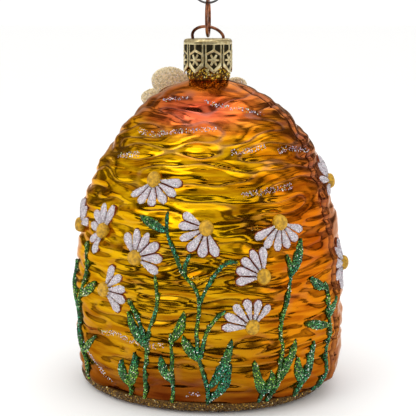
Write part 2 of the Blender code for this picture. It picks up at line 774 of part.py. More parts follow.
def build():
    clear_scene()
    glass_shell()
    neck_band_top = NECK_BAND_LOW + NECK_BAND_HEIGHT
    glitter_band("neck_glitter_band", NECK_BAND_LOW, neck_band_top, 2, GAP, BAND_THICKNESS)
    glitter_band("base_glitter_band", BASE_BAND_LOW, BASE_BAND_TOP, 2, GAP, BASE_BAND_THICKNESS)
    for name, fan in DAISIES.items():
        petal_fan(f"{name}_petals", *fan)
        low = 2 * GAP + PETAL_THICKNESS
        dome(f"{name}_centre", fan[0], fan[1], CENTRE_RADIUS, CENTRE_RADIUS, CENTRE_RISE, low, "centre")
    for name, (stems, leaves) in SPRIGS.items():
        sprig(name, stems, leaves)
    dome("bee_abdomen", *ABDOMEN_PLACE, *ABDOMEN, GAP, "bee_yellow", 16)
    dome("bee_thorax", *THORAX_PLACE, *THORAX, GAP, "bee_dark", 14)
    dome("bee_head", *HEAD_PLACE, *HEAD, GAP, "bee_dark")
    for name, lobe in WINGS.items():
        wing(name, *lobe)
    cap_pivot = pivot("cap_lift_pivot", (0, 0, PLATE_TOP))
    hanger_cap(cap_pivot)
    cap_wire_loop(cap_pivot)
    ring_pivot = pivot("ring_tilt_pivot", (0, 0, RING_LOW), cap_pivot)
    hanger_ring(ring_pivot)
    hook_pivot = pivot("hook_swing_pivot", (0, 0, RING_HIGH), ring_pivot)
    tree_hook(hook_pivot)


build()
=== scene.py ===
# %% [markdown]
# # A blown-glass beehive
# The real thing is one bubble of glass, blown into a mould that gives it the straw of a skep
# and the raised flowers. It is silvered inside, brushed with amber lacquers outside, and the
# flowers are dusted with glitter on wet glue. A stamped cap with a sprung wire closes the neck.
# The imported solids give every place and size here, and each piece below is a finer surface
# that stands in for a plain solid.

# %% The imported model
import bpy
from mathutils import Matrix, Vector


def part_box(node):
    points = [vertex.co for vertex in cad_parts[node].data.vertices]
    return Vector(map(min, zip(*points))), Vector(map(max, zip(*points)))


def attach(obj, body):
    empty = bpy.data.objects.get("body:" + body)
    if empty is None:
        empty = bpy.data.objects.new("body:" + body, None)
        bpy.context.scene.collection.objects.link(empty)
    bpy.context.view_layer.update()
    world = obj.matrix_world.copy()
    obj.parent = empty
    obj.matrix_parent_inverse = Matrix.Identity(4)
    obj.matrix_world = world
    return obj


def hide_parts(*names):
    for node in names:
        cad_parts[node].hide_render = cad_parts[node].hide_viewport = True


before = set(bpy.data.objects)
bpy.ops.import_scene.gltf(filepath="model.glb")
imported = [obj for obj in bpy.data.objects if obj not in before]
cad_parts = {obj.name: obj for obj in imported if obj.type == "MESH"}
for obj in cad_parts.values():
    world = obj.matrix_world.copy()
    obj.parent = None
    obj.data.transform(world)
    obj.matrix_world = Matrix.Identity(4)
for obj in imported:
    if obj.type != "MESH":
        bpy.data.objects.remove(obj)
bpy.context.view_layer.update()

import math

import bmesh
import bpy
import numpy as np
from mathutils import Matrix, Vector, noise

MM = 0.001

# %% [markdown]
# ## Small tools
# Colours are written as they look on a screen, and a shader wants linear light, so one function
# converts them. One more adds a node with its settings and links, which keeps each material
# short enough to read as a recipe. Pieces are built as arrays of points, so one function makes
# an object of them, one numbers the quads of a grid, and one joins several sets.

# %% Colours and nodes


def linear(hex_colour):
    """An sRGB hex colour as linear red, green, blue and alpha."""
    parts = [int(hex_colour[i:i + 2], 16) / 255 for i in (1, 3, 5)]
    return (*[v / 12.92 if v <= 0.04045 else ((v + 0.055) / 1.055) ** 2.4 for v in parts], 1.0)


def add(tree, kind, inputs=(), stops=(), **settings):
    """A node with its settings. An input's value is a number, a colour or another node's output."""
    made = tree.nodes.new(kind)
    for name, value in settings.items():
        setattr(made, name, value)
    for name, value in dict(inputs).items():
        if isinstance(value, bpy.types.NodeSocket):
            tree.links.new(value, made.inputs[name])
        else:
            made.inputs[name].default_value = value
    for i, (place, hex_colour) in enumerate(stops):
        ramp = made.color_ramp.elements
        stop = ramp[i] if i < len(ramp) else ramp.new(place)
        stop.position = place
        stop.color = linear(hex_colour)
    return made


def new_material(name, **shader_values):
    """A material with its Principled shader's own sockets set; _ stands for a space."""
    made = bpy.data.materials.new(name)
    made.use_nodes = True
    shader = made.node_tree.nodes["Principled BSDF"]
    for socket, value in shader_values.items():
        shader.inputs[socket.replace("_", " ")].default_value = value
    return made, made.node_tree, shader


# %% Meshes


def mesh_piece(name, points, faces, material, **point_values):
    """A smooth-shaded object from arrays, with named values on its points."""
    mesh = bpy.data.meshes.new(name)
    mesh.from_pydata(np.asarray(points).tolist(), [], [list(face) for face in faces])
    mesh.validate()
    work = bmesh.new()
    work.from_mesh(mesh)
    bmesh.ops.recalc_face_normals(work, faces=work.faces)
    work.to_mesh(mesh)
    work.free()
    for key, values in point_values.items():
        layer = mesh.attributes.new(key, "FLOAT", "POINT")
        layer.data.foreach_set("value", np.asarray(values, np.float32).ravel())
    mesh.materials.append(material)
    mesh.shade_smooth()
    made = bpy.data.objects.new(name, mesh)
    bpy.context.scene.collection.objects.link(made)
    return made


def grid_faces(rows, columns, wraps=False):
    """The quads of a grid of points that is stored row by row."""
    across = columns if wraps else columns - 1
    row, column = np.meshgrid(np.arange(rows - 1), np.arange(across), indexing="ij")
    right = (column + 1) % columns
    corners = (row * columns + column, row * columns + right)
    above = (corners[1] + columns, corners[0] + columns)
    return np.stack([*corners, *above], -1).reshape(-1, 4).tolist()


def joined(parts):
    """Several (points, faces) as one."""
    points, faces = [], []
    for more_points, more_faces in parts:
        faces += [[v + len(points) for v in face] for face in more_faces]
        points += np.asarray(more_points).reshape(-1, 3).tolist()
    return points, faces


def settle(piece, body, slot, *nodes):
    """The piece moves with its body and stands for its CAD nodes; its slot is not used."""
    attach(piece, body)
    if nodes:
        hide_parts(*nodes)
    print(f"{piece.name}: {len(piece.data.polygons)} faces on {body}")


# %% [markdown]
# ## Camera, floor and light
# Mirror-like glass shows what stands round it, so the light is planned as reflections: a white
# ceiling and floor give the bright lacquer, and a low dark cloth in front gives the olive and
# black streaks between them. The lamps are set by how bright they look in the mirror, since a
# lamp much brighter than the ceiling would burn a white hole in the amber.

# %% Camera
CAMERA_DISTANCE = 0.350
CAMERA_HEIGHT = 0.1248
CAMERA_TURN = math.radians(5)
CAMERA_PITCH = math.radians(10.5)
CAMERA_LENS = 90.6

camera_data = bpy.data.cameras.new("camera")
camera_data.lens = CAMERA_LENS
camera_data.sensor_width = 36
camera_data.clip_start = 0.01
camera = bpy.data.objects.new("camera", camera_data)
camera.location = (
    CAMERA_DISTANCE * math.sin(CAMERA_TURN),
    -CAMERA_DISTANCE * math.cos(CAMERA_TURN),
    CAMERA_HEIGHT,
)
camera.rotation_euler = (math.pi / 2 - CAMERA_PITCH, 0, CAMERA_TURN)
bpy.context.scene.collection.objects.link(camera)
bpy.context.scene.camera = camera
bpy.context.scene.view_settings.view_transform = "Standard"

# %% Floor, dark cloth and dark mat
FLOOR_RADIUS = 12.0
WALL_RADIUS = 0.55
WALL_LOW = 0.012
WALL_HIGH = 0.200
WALL_TURNS = (-56, 50)  # it hangs in front only, so the flanks stay bright


def disc(name, radius, height, material):
    """A flat round sheet."""
    turns = np.linspace(0, 2 * np.pi, 96, endpoint=False)
    rim = np.stack([radius * np.sin(turns), -radius * np.cos(turns), np.full(96, height)], -1)
    return mesh_piece(name, rim, [list(range(96))], material)


# Matt paper: a pale ground with soft contact shadows and no glare.
floor_paint, _, _ = new_material("white studio floor", Base_Color=linear("#FBFBFA"), Roughness=0.9)
floor = disc("studio_floor", FLOOR_RADIUS, 0.0, floor_paint)

# Dull cloth with faint blotches, seen only in the glass, as the dark streaks of the straw.
wall_paint, wall_tree, wall_shader = new_material("dark studio cloth", Roughness=0.9)
wall_coords = add(wall_tree, "ShaderNodeTexCoord")
wall_blotches = add(
    wall_tree, "ShaderNodeTexNoise",
    {"Vector": wall_coords.outputs["Object"], "Scale": 4.0, "Detail": 1.0}
)
wall_shade = add(
    wall_tree, "ShaderNodeValToRGB", {"Fac": wall_blotches.outputs["Fac"]},
    stops=[(0.40, "#0B0906"), (0.62, "#3A2A18")],
)
wall_tree.links.new(wall_shade.outputs["Color"], wall_shader.inputs["Base Color"])

wall_turns = np.radians(np.linspace(*WALL_TURNS, 48))
wall_rows = [
    np.stack(
        [WALL_RADIUS * np.sin(wall_turns), -WALL_RADIUS * np.cos(wall_turns), np.full(48, z)], -1
    )
    for z in (WALL_LOW, WALL_HIGH)
]
wall = mesh_piece("dark_cloth", np.concatenate(wall_rows), grid_faces(2, 48), wall_paint)

# A dark mat on the floor in front does the same for the strands that look down.
MAT_REACH = (0.13, 0.25)
mat_rows = [
    np.stack([reach * np.sin(wall_turns), -reach * np.cos(wall_turns), np.full(48, 0.0008)], -1)
    for reach in MAT_REACH
]
mat = mesh_piece("dark_mat", np.concatenate(mat_rows), grid_faces(2, 48), wall_paint)

for dark_piece in (wall, mat):
    dark_piece.visible_camera = False
    dark_piece.visible_diffuse = False
    dark_piece.visible_shadow = False

# %% Lamps
# name: turn and elevation in degrees, distance, width, height, brightness, colour
LAMPS = {
    "key_window": (-38, 42, 0.60, 0.26, 0.30, 1.6, "#FFFDF8"),
    "right_window": (58, 34, 0.60, 0.16, 0.26, 0.8, "#FFF6EA"),
    "top_panel": (0, 84, 0.70, 0.50, 0.50, 0.8, "#FFFFFF"),
    "back_window": (170, 35, 0.70, 0.40, 0.30, 0.8, "#FFFFFF"),
    "front_strip": (8, 16, 0.50, 0.26, 0.016, 1.3, "#FFFFFF"),
}


def lamp(name, turn, elevation, distance, width, height, brightness, hex_colour):
    """A soft rectangular light that faces the middle of the glass."""
    data = bpy.data.lights.new(name, "AREA")
    data.shape = "RECTANGLE"
    data.size, data.size_y = width, height
    data.energy = brightness * math.pi * width * height
    data.color = linear(hex_colour)[:3]
    made = bpy.data.objects.new(name, data)
    a, e = math.radians(turn), math.radians(elevation)
    target = Vector((0, 0, 0.06))
    out = Vector((math.sin(a) * math.cos(e), -math.cos(a) * math.cos(e), math.sin(e)))
    made.location = target + distance * out
    made.rotation_euler = out.to_track_quat("Z", "Y").to_euler()
    bpy.context.scene.collection.objects.link(made)
    return made


for lamp_name, lamp_values in LAMPS.items():
    lamp(lamp_name, *lamp_values)

# %% World
# Mirror rays see a room: bright ceiling, dim horizon, large grey patches. Soft light is even.
HEIGHT_STOPS = [
    (0.0, "#E8E4DC"), (0.47, "#D0CAC0"), (0.53, "#A29A92"), (0.63, "#DCD8D2"), (1.0, "#F6F4F0")
]
PATCH_STOPS = [(0.40, "#6E665C"), (0.48, "#D0CAC0"), (0.56, "#FFFFFF")]
SOFT_LIGHT = 1.08

world = bpy.data.worlds.new("soft studio")
bpy.context.scene.world = world
world.use_nodes = True
sky_tree = world.node_tree
sky = sky_tree.nodes["Background"]
direction = add(sky_tree, "ShaderNodeTexCoord").outputs["Generated"]
up = add(sky_tree, "ShaderNodeSeparateXYZ", {0: direction}).outputs["Z"]
height_share = add(sky_tree, "ShaderNodeMapRange", {"Value": up, "From Min": -1.0, "From Max": 1.0})
by_height = add(
    sky_tree, "ShaderNodeValToRGB", {"Fac": height_share.outputs[0]}, stops=HEIGHT_STOPS
)
patches = add(sky_tree, "ShaderNodeTexNoise", {"Vector": direction, "Scale": 2.6, "Detail": 1.0})
by_patch = add(sky_tree, "ShaderNodeValToRGB", {"Fac": patches.outputs["Fac"]}, stops=PATCH_STOPS)
room = add(
    sky_tree, "ShaderNodeMix",
    {0: 1.0, 6: by_height.outputs["Color"], 7: by_patch.outputs["Color"]},
    data_type="RGBA", blend_type="MULTIPLY",
)
mirrored = add(sky_tree, "ShaderNodeLightPath").outputs["Is Glossy Ray"]
sky_mix = add(
    sky_tree, "ShaderNodeMix",
    {0: mirrored, 6: (SOFT_LIGHT, SOFT_LIGHT, SOFT_LIGHT, 1), 7: room.outputs[2]},
    data_type="RGBA",
)
sky_tree.links.new(sky_mix.outputs[2], sky.inputs["Color"])

# %% [markdown]
# ## The shape of the hive
# The solid's outline is a rule: a dome that is a power curve, a foot that tucks in, and an oval
# section that turns round at the neck. The same rule is used here on whole arrays of points, so
# that every flower and every flake of glitter can be placed by its turn round the glass and its
# height. A turn of 0 faces -Y and 90 faces +X.

# %% Outline
glass_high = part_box("glass_shell")[1]
NECK_TOP = glass_high.z
NECK_LENGTH = 12.6 * MM
DOME_TOP = NECK_TOP - NECK_LENGTH
HALF_WIDTH = 46 * MM
WIDEST_HEIGHT = 24 * MM
DEPTH_SHARE = 0.85
DOME_POWER = 2.5
FOOT_TUCK = 29 * MM
SEAM_TURN = 78
NECK_RADIUS = 6.4 * MM
NECK_WALL = 0.65 * MM
NECK_BLEND = 3
GLASS_WALL = 1.2 * MM
STEP = 1e-5


def smooth_step(value, low, high):
    """0 below low, 1 above high and an easy slope between."""
    share = np.clip((value - low) / (high - low), 0, 1)
    return share * share * (3 - 2 * share)


def half_width(height):
    """Half the width of the glass at a height, the neck included."""
    below = np.clip((WIDEST_HEIGHT - height) / FOOT_TUCK, 0, 1)
    above = np.clip((height - WIDEST_HEIGHT) / (DOME_TOP - WIDEST_HEIGHT), 0, 1)
    foot = (1 - below**4) ** (1 / 3.4)
    dome = HALF_WIDTH * np.where(height < WIDEST_HEIGHT, foot, np.sqrt(1 - above**DOME_POWER))
    return (dome**NECK_BLEND + NECK_RADIUS**NECK_BLEND) ** (1 / NECK_BLEND)


def oval(turn, height, reach):
    """Points on an oval whose long axis runs through the two mould seams."""
    turned = np.radians(SEAM_TURN - 90)
    angle = np.radians(turn + 90 - SEAM_TURN)
    round_by = smooth_step(height, DOME_TOP - 9.5 * MM, DOME_TOP - 1.5 * MM)
    share = DEPTH_SHARE + (1 - DEPTH_SHARE) * round_by
    x, y = reach * np.sin(angle), -share * reach * np.cos(angle)
    foot = np.clip(1 - height / (12 * MM), 0, None) ** 2
    lean = np.exp(-(((height - DOME_TOP + 15.5 * MM) / (12 * MM)) ** 2))
    shift = 1.3 * MM * lean - 3.2 * MM * foot
    across = x * np.cos(turned) - y * np.sin(turned) + shift
    return np.stack(
        np.broadcast_arrays(across, x * np.sin(turned) + y * np.cos(turned), height), -1
    )


def on_glass(turn, height, lift=0.0):
    """Points at a distance from the smooth glass, measured square to it."""
    turn, height = np.asarray(turn, float), np.asarray(height, float)
    here = oval(turn, height, half_width(height))
    along = oval(turn + 0.1, height, half_width(height)) - here
    up = oval(turn, height + STEP, half_width(height + STEP)) - here
    normal = np.cross(along, up)
    normal /= np.linalg.norm(normal, axis=-1, keepdims=True)
    return here + normal * np.asarray(lift, float)[..., None]


def slide_over(turn, height, across, up):
    """The turns and heights reached by going distances across and up over the glass."""
    here = on_glass(turn, height)
    per_degree = np.linalg.norm(on_glass(turn + 0.5, height) - here, axis=-1) / 0.5
    climb = 0.5 * MM
    per_height = np.linalg.norm(on_glass(turn, height + climb) - here, axis=-1) / climb
    return turn + across / per_degree, height + up / per_height


def place_of(node):
    """The turn and height of the glass under the middle of a CAD node."""
    low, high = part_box(node)
    middle = np.array((low + high) / 2)
    turn, height = math.degrees(math.atan2(middle[0], -middle[1])), middle[2]
    for _ in range(12):
        away = middle - on_glass(turn, height)
        along = on_glass(turn + 0.5, height) - on_glass(turn, height)
        up = on_glass(turn, height + STEP) - on_glass(turn, height)
        turn += 0.5 * float(away @ along) / float(along @ along)
        height += STEP * float(away @ up) / float(up @ up)
    return turn, height


outline_error = np.abs(on_glass(90.0, np.array([24 * MM]))[0, 0] - glass_high.x)
print(f"outline differs from the solid by {outline_error / MM:.2f} mm at its widest")

# %% [markdown]
# ## The straw
# A skep is coiled straw. In the glass it is a field of long level strands that split and merge,
# each a couple of millimetres tall, with sharp creases between them. Noise stretched sideways
# gives strands that never repeat, and the absolute value of noise has a crease wherever it
# crosses zero. Three sizes are added: broad swells, strands and fine fibres.

# %% Straw relief


def noise_at(points, size, seed):
    """Smooth noise at points, stretched by a size along X, Y and Z."""
    scaled = points / np.array(size) + seed
    return np.array(
        [noise.noise(Vector(p)) for p in scaled.reshape(-1, 3)]
    ).reshape(points.shape[:-1])


def swell(turn, height):
    """The broad swells of the glass, which the flowers follow."""
    base = on_glass(turn, height)
    fade = smooth_step(height, 1 * MM, 8 * MM) * (
        1 - smooth_step(height, DOME_TOP - 9 * MM, DOME_TOP - 2 * MM)
    )
    return fade * 1.5 * MM * noise_at(base, (22 * MM, 22 * MM, 8 * MM), 3.7)


def straw(turn, height):
    """(how far the straw stands out, how deep in a crease each point is)."""
    base = on_glass(turn, height)
    bend = base.copy()
    bend[..., 2] += 1.6 * MM * noise_at(base, (16 * MM, 16 * MM, 8 * MM), 11.3)
    strands = np.sqrt(noise_at(bend, (13 * MM, 13 * MM, 4.3 * MM), 27.1) ** 2 + 0.05**2)
    fibres = noise_at(bend, (8 * MM, 8 * MM, 2.0 * MM), 41.9)
    fade = smooth_step(height, 0.8 * MM, 5 * MM) * (
        1 - smooth_step(height, DOME_TOP - 5 * MM, DOME_TOP - 0.5 * MM)
    )
    lift = fade * (1.9 * MM * np.minimum(strands, 0.42) + 0.30 * MM * fibres - 0.35 * MM)
    crease = fade * np.clip(1 - (strands - 0.05) / 0.05, 0, 1)
    return lift + swell(turn, height), crease


SEAM_LINE_TURN = 69  # the line drifted from the oval's end as the mould closed


def seam(turn, height):
    """(lift, how near the line) of the raised line where the two halves of the mould met."""
    off = ((turn - SEAM_LINE_TURN + 90) % 180) - 90
    distance = np.abs(np.radians(off)) * half_width(height)
    fade = 1 - smooth_step(height, DOME_TOP - 4 * MM, DOME_TOP)
    line = fade * np.exp(-((distance / (0.65 * MM)) ** 2))
    groove = fade * np.exp(-(((distance - 1.7 * MM) / (0.8 * MM)) ** 2))
    return 0.55 * MM * line - 0.45 * MM * groove, groove


# %% Glass mesh
GLASS_SIDES = 240
GLASS_ROWS = 336
SEAM_CROWDING = 0.5  # how much closer together the columns are at the seams

columns = np.linspace(0, 2 * np.pi, GLASS_SIDES, endpoint=False)
glass_turns = SEAM_LINE_TURN + np.degrees(columns - SEAM_CROWDING / 2 * np.sin(2 * columns))
fine_heights = np.linspace(0, DOME_TOP, 2000)
slope = np.hypot(np.diff(half_width(fine_heights)), np.diff(fine_heights))
run = np.concatenate([[0], np.cumsum(slope)])
glass_heights = np.interp(np.linspace(0, run[-1], GLASS_ROWS), run, fine_heights)

turn_grid, height_grid = np.meshgrid(glass_turns, glass_heights)
straw_lift, crease = straw(turn_grid, height_grid)
seam_lift, seam_groove = seam(turn_grid, height_grid)
outer = on_glass(turn_grid, height_grid, straw_lift + seam_lift)

rings, creases, grooves = [], [], []


def level_ring(height, reach):
    """One smooth ring of the glass, with no straw on it."""
    rings.append(oval(glass_turns, np.full(GLASS_SIDES, height), reach))
    creases.append(np.zeros(GLASS_SIDES))
    grooves.append(np.zeros(GLASS_SIDES))


for share in (0.02, 0.35, 0.7, 0.93):
    level_ring(0.0, share * half_width(np.array(0.0)))
for i in range(GLASS_ROWS):
    rings.append(outer[i])
    creases.append(crease[i])
    grooves.append(seam_groove[i])
for height in np.linspace(DOME_TOP, NECK_TOP - 0.3 * MM, 8)[1:]:
    level_ring(height, NECK_RADIUS)
level_ring(NECK_TOP, NECK_RADIUS - 0.15 * MM)
bore = NECK_RADIUS - NECK_WALL
level_ring(NECK_TOP, bore + 0.15 * MM)
for height in np.linspace(NECK_TOP - 0.3 * MM, DOME_TOP - GLASS_WALL, 5):
    level_ring(height, bore)
for height in np.linspace(DOME_TOP - GLASS_WALL, GLASS_WALL, 14)[1:]:
    level_ring(height, max(float(half_width(np.array(height))) - GLASS_WALL / 0.7, bore))
level_ring(GLASS_WALL, 0.02 * HALF_WIDTH)

glass_points = np.concatenate(rings)
glass_faces = grid_faces(len(rings), GLASS_SIDES, wraps=True)
last = (len(rings) - 1) * GLASS_SIDES
glass_faces += [list(range(GLASS_SIDES)), list(range(last, last + GLASS_SIDES))]
low_mm, high_mm = straw_lift.min() / MM, straw_lift.max() / MM
print(f"glass: {len(glass_points)} points, straw from {low_mm:.2f} to {high_mm:.2f} mm")

# %% [markdown]
# ## Lacquer over silver
# The silver is a metal, so the shader is fully metallic, and the lacquer is its tint: golden
# yellow in the belly, orange on the shoulder and down one side, coral high on the front and red
# brown at the foot. Mauve along the seams is a painted reflection of the glancing light at the
# sides, and painted shade darkens the straw's creases and the groove beside the seam line. The
# lacquer also warms the glancing reflections, which keeps the rims from flashing white.

# %% Lacquer
lacquer, tree, shader = new_material(
    "amber lacquer on silvered glass", Metallic=1.0, Roughness=0.15, Specular_Tint=linear("#F2D4BC")
)
coords = add(tree, "ShaderNodeTexCoord").outputs["Object"]
place = add(tree, "ShaderNodeSeparateXYZ", {0: coords})
blotch = add(tree, "ShaderNodeTexNoise", {"Vector": coords, "Scale": 55.0, "Detail": 2.0})
stretched = add(tree, "ShaderNodeMapping", {"Vector": coords, "Scale": (1.0, 1.0, 7.0)})
brush = add(
    tree, "ShaderNodeTexNoise", {"Vector": stretched.outputs[0], "Scale": 75.0, "Detail": 3.0}
)
wander = add(
    tree, "ShaderNodeMath", {0: blotch.outputs["Fac"], 1: 0.030, 2: -0.015},
    operation="MULTIPLY_ADD"
)
level = add(tree, "ShaderNodeMath", {0: place.outputs["Z"], 1: wander.outputs[0]}, operation="ADD")
level_share = add(tree, "ShaderNodeMapRange", {"Value": level.outputs[0], "From Max": 0.110})
bands = add(
    tree, "ShaderNodeValToRGB", {"Fac": level_share.outputs[0]},
    stops=[
        (0.00, "#7A3A10"), (0.07, "#8A4A10"), (0.14, "#B0760E"), (0.30, "#CE9810"),
        (0.55, "#E8B20A"),
        (0.74, "#F4BA0C"), (0.83, "#F6A414"), (0.91, "#F68C18"), (1.00, "#FA9418"),
    ],
)
right_side = add(
    tree, "ShaderNodeMapRange", {"Value": place.outputs["X"], "From Min": 0.008, "From Max": 0.034},
    interpolation_type="SMOOTHSTEP",
)
right_high = add(
    tree, "ShaderNodeMapRange",
    {"Value": level.outputs[0], "From Min": 0.012, "From Max": 0.050, "To Min": 0.35},
)
right_share = add(
    tree, "ShaderNodeMath", {0: right_side.outputs[0], 1: right_high.outputs[0]},
    operation="MULTIPLY"
)
orange = add(
    tree, "ShaderNodeMix",
    {0: right_share.outputs[0], 6: bands.outputs["Color"], 7: linear("#D97410")},
    data_type="RGBA",
)
# A soft egg-shaped patch of coral, high on the front: one over its half sizes, then its place.
CORAL_SCALE = (38, 20, 110)
CORAL_SHIFT = (0.10, 0.55, -10.4)
coral_place = add(
    tree, "ShaderNodeVectorMath", {0: coords, 1: CORAL_SCALE, 2: CORAL_SHIFT},
    operation="MULTIPLY_ADD"
)
coral_share = add(
    tree, "ShaderNodeTexGradient", {0: coral_place.outputs[0]}, gradient_type="SPHERICAL"
)
coral_amount = add(
    tree, "ShaderNodeMath", {0: coral_share.outputs["Fac"], 1: 1.4}, operation="MULTIPLY",
    use_clamp=True
)
coral = add(
    tree, "ShaderNodeMix", {0: coral_amount.outputs[0], 6: orange.outputs[2], 7: linear("#EC6E46")},
    data_type="RGBA"
)
streaky = add(
    tree, "ShaderNodeValToRGB", {"Fac": brush.outputs["Fac"]},
    stops=[(0.36, "#B88A70"), (0.58, "#FFFFFF")]
)
brushed = add(
    tree, "ShaderNodeMix", {0: 0.75, 6: coral.outputs[2], 7: streaky.outputs["Color"]},
    data_type="RGBA", blend_type="MULTIPLY",
)
# Painted reflection: mauve mixed in near the plane through both seams, for the glancing light at
# the sides.
SEAM_NORMAL = (0.208, 0.978, 0)  # square to the plane through both seams
seam_side = add(tree, "ShaderNodeVectorMath", {0: coords, 1: SEAM_NORMAL}, operation="DOT_PRODUCT")
seam_near = add(tree, "ShaderNodeMath", {0: seam_side.outputs["Value"]}, operation="ABSOLUTE")
seam_wander = add(
    tree, "ShaderNodeMath", {0: brush.outputs["Fac"], 1: 0.006, 2: seam_near.outputs[0]},
    operation="MULTIPLY_ADD"
)
seam_reflection_share = add(
    tree, "ShaderNodeMapRange",
    {
        "Value": seam_wander.outputs[0], "From Min": 0.004, "From Max": 0.016, "To Min": 0.8,
        "To Max": 0.0
    },
)
mauve = add(
    tree, "ShaderNodeMix", {0: seam_reflection_share.outputs[0], 6: brushed.outputs[2], 7: linear("#8E5C4C")},
    data_type="RGBA"
)
# Painted shade: the straw's creases darken to a mauve grey, more so high on the dome.
crease_value = add(tree, "ShaderNodeAttribute", attribute_name="crease")
crease_shade_by_height = add(
    tree, "ShaderNodeMapRange",
    {
        "Value": place.outputs["Z"], "From Min": 0.060, "From Max": 0.085, "To Min": 0.10,
        "To Max": 0.50
    },
)
crease_shade_share = add(
    tree, "ShaderNodeMath", {0: crease_value.outputs["Fac"], 1: crease_shade_by_height.outputs[0]},
    operation="MULTIPLY"
)
crease_shaded = add(
    tree, "ShaderNodeMix", {0: crease_shade_share.outputs[0], 6: mauve.outputs[2], 7: linear("#8C6C68")},
    data_type="RGBA"
)
# Painted shade: the groove beside the seam line darkens to a deep brown.
groove_value = add(tree, "ShaderNodeAttribute", attribute_name="seam_groove")
groove_shade_share = add(
    tree, "ShaderNodeMath", {0: groove_value.outputs["Fac"], 1: 0.8}, operation="MULTIPLY"
)
groove_shaded = add(
    tree, "ShaderNodeMix", {0: groove_shade_share.outputs[0], 6: crease_shaded.outputs[2], 7: linear("#4A2416")},
    data_type="RGBA"
)
tree.links.new(groove_shaded.outputs[2], shader.inputs["Base Color"])
fine_wave = add(tree, "ShaderNodeMapping", {"Vector": coords, "Scale": (1.0, 1.0, 5.0)})
fine = add(
    tree, "ShaderNodeTexNoise", {"Vector": fine_wave.outputs[0], "Scale": 150.0, "Detail": 1.0}
)
ripple = add(
    tree, "ShaderNodeBump", {"Height": fine.outputs["Fac"], "Strength": 0.6, "Distance": 0.0002}
)
tree.links.new(ripple.outputs[0], shader.inputs["Normal"])

glass = mesh_piece(
    "glass_body", glass_points, glass_faces, lacquer,
    crease=np.concatenate(creases), seam_groove=np.concatenate(grooves),
)
settle(glass, "ornament", "lacquered_mirror_glass", "glass_shell")

# %% [markdown]
# ## Glitter
# Glitter is cut from mirror film, so each grain is a small flat mirror that lies a little
# tilted in the glue. Painting it as a pattern looks like sandpaper; real grains flash one by
# one. Geometry Nodes scatter them: points on a surface, a shallow five-sided grain on each,
# tilted at random, and a random number kept on every grain for its colour.

# %% Grain scattering
FULL_TURN = 6.283  # radians, so that a grain may point any way


def grain_tree():
    """Inputs: the surface, grains per square metre, size, tilt in radians, seed and material."""
    tree = bpy.data.node_groups.new("scattered grains", "GeometryNodeTree")
    sockets = {
        "Surface": "Geometry", "Density": "Float", "Size": "Float", "Tilt": "Float", "Seed": "Int",
        "Film": "Material"
    }
    for name, kind in sockets.items():
        tree.interface.new_socket(name=name, in_out="INPUT", socket_type=f"NodeSocket{kind}")
    tree.interface.new_socket(name="Grains", in_out="OUTPUT", socket_type="NodeSocketGeometry")
    given = add(tree, "NodeGroupInput").outputs
    spots = add(
        tree, "GeometryNodeDistributePointsOnFaces",
        {"Mesh": given["Surface"], "Density": given["Density"], "Seed": given["Seed"]},
    )
    grain = add(
        tree, "GeometryNodeMeshCone",
        {"Vertices": 5, "Radius Top": 0.0, "Radius Bottom": 0.5, "Depth": 0.16}
    )
    least_tilt = add(tree, "ShaderNodeMath", {0: given["Tilt"], 1: -1.0}, operation="MULTIPLY")
    low = add(
        tree, "ShaderNodeCombineXYZ", {0: least_tilt.outputs[0], 1: least_tilt.outputs[0], 2: 0.0}
    )
    high = add(tree, "ShaderNodeCombineXYZ", {0: given["Tilt"], 1: given["Tilt"], 2: FULL_TURN})
    lean = add(
        tree, "FunctionNodeRandomValue",
        {0: low.outputs[0], 1: high.outputs[0], "Seed": given["Seed"]},
        data_type="FLOAT_VECTOR",
    )
    turned = add(tree, "FunctionNodeEulerToRotation", {0: lean.outputs[0]})
    facing = add(
        tree, "FunctionNodeRotateRotation", {0: spots.outputs["Rotation"], 1: turned.outputs[0]},
        rotation_space="LOCAL",
    )
    spread = add(tree, "FunctionNodeRandomValue", {2: 0.65, 3: 1.25, "Seed": 7}, data_type="FLOAT")
    scale = add(
        tree, "ShaderNodeMath", {0: spread.outputs[1], 1: given["Size"]}, operation="MULTIPLY"
    )
    placed = add(
        tree, "GeometryNodeInstanceOnPoints",
        {"Points": spots.outputs["Points"], "Instance": grain.outputs["Mesh"],
         "Rotation": facing.outputs[0], "Scale": scale.outputs[0]},
    )
    number = add(tree, "FunctionNodeRandomValue", {2: 0.0, 3: 1.0, "Seed": 19}, data_type="FLOAT")
    named = add(
        tree, "GeometryNodeStoreNamedAttribute",
        {"Geometry": placed.outputs[0], "Name": "grain", "Value": number.outputs[1]},
        data_type="FLOAT", domain="INSTANCE",
    )
    real = add(tree, "GeometryNodeRealizeInstances", {"Geometry": named.outputs[0]})
    painted = add(
        tree, "GeometryNodeSetMaterial", {"Geometry": real.outputs[0], "Material": given["Film"]}
    )
    add(tree, "NodeGroupOutput", {"Grains": painted.outputs[0]})
    return tree


grains = grain_tree()


def dust(name, surface, size, per_mm2, film, slot, tilt=0.5, seed=1):
    """Glitter on a surface given as (points, faces), as a piece of its own."""
    carrier = mesh_piece(f"{name}_carrier", *surface, film)
    scatter = carrier.modifiers.new("grains", "NODES")
    scatter.node_group = grains
    values = {"Density": per_mm2 / MM**2, "Size": size, "Tilt": tilt, "Seed": seed, "Film": film}
    for item in grains.interface.items_tree:
        if item.item_type == "SOCKET" and item.name in values:
            scatter[item.identifier] = values[item.name]
    result = carrier.evaluated_get(bpy.context.evaluated_depsgraph_get())
    made = bpy.data.objects.new(name, bpy.data.meshes.new_from_object(result))
    made.data.name = name
    bpy.data.objects.remove(carrier)
    bpy.context.scene.collection.objects.link(made)
    settle(made, "ornament", slot)
    return made


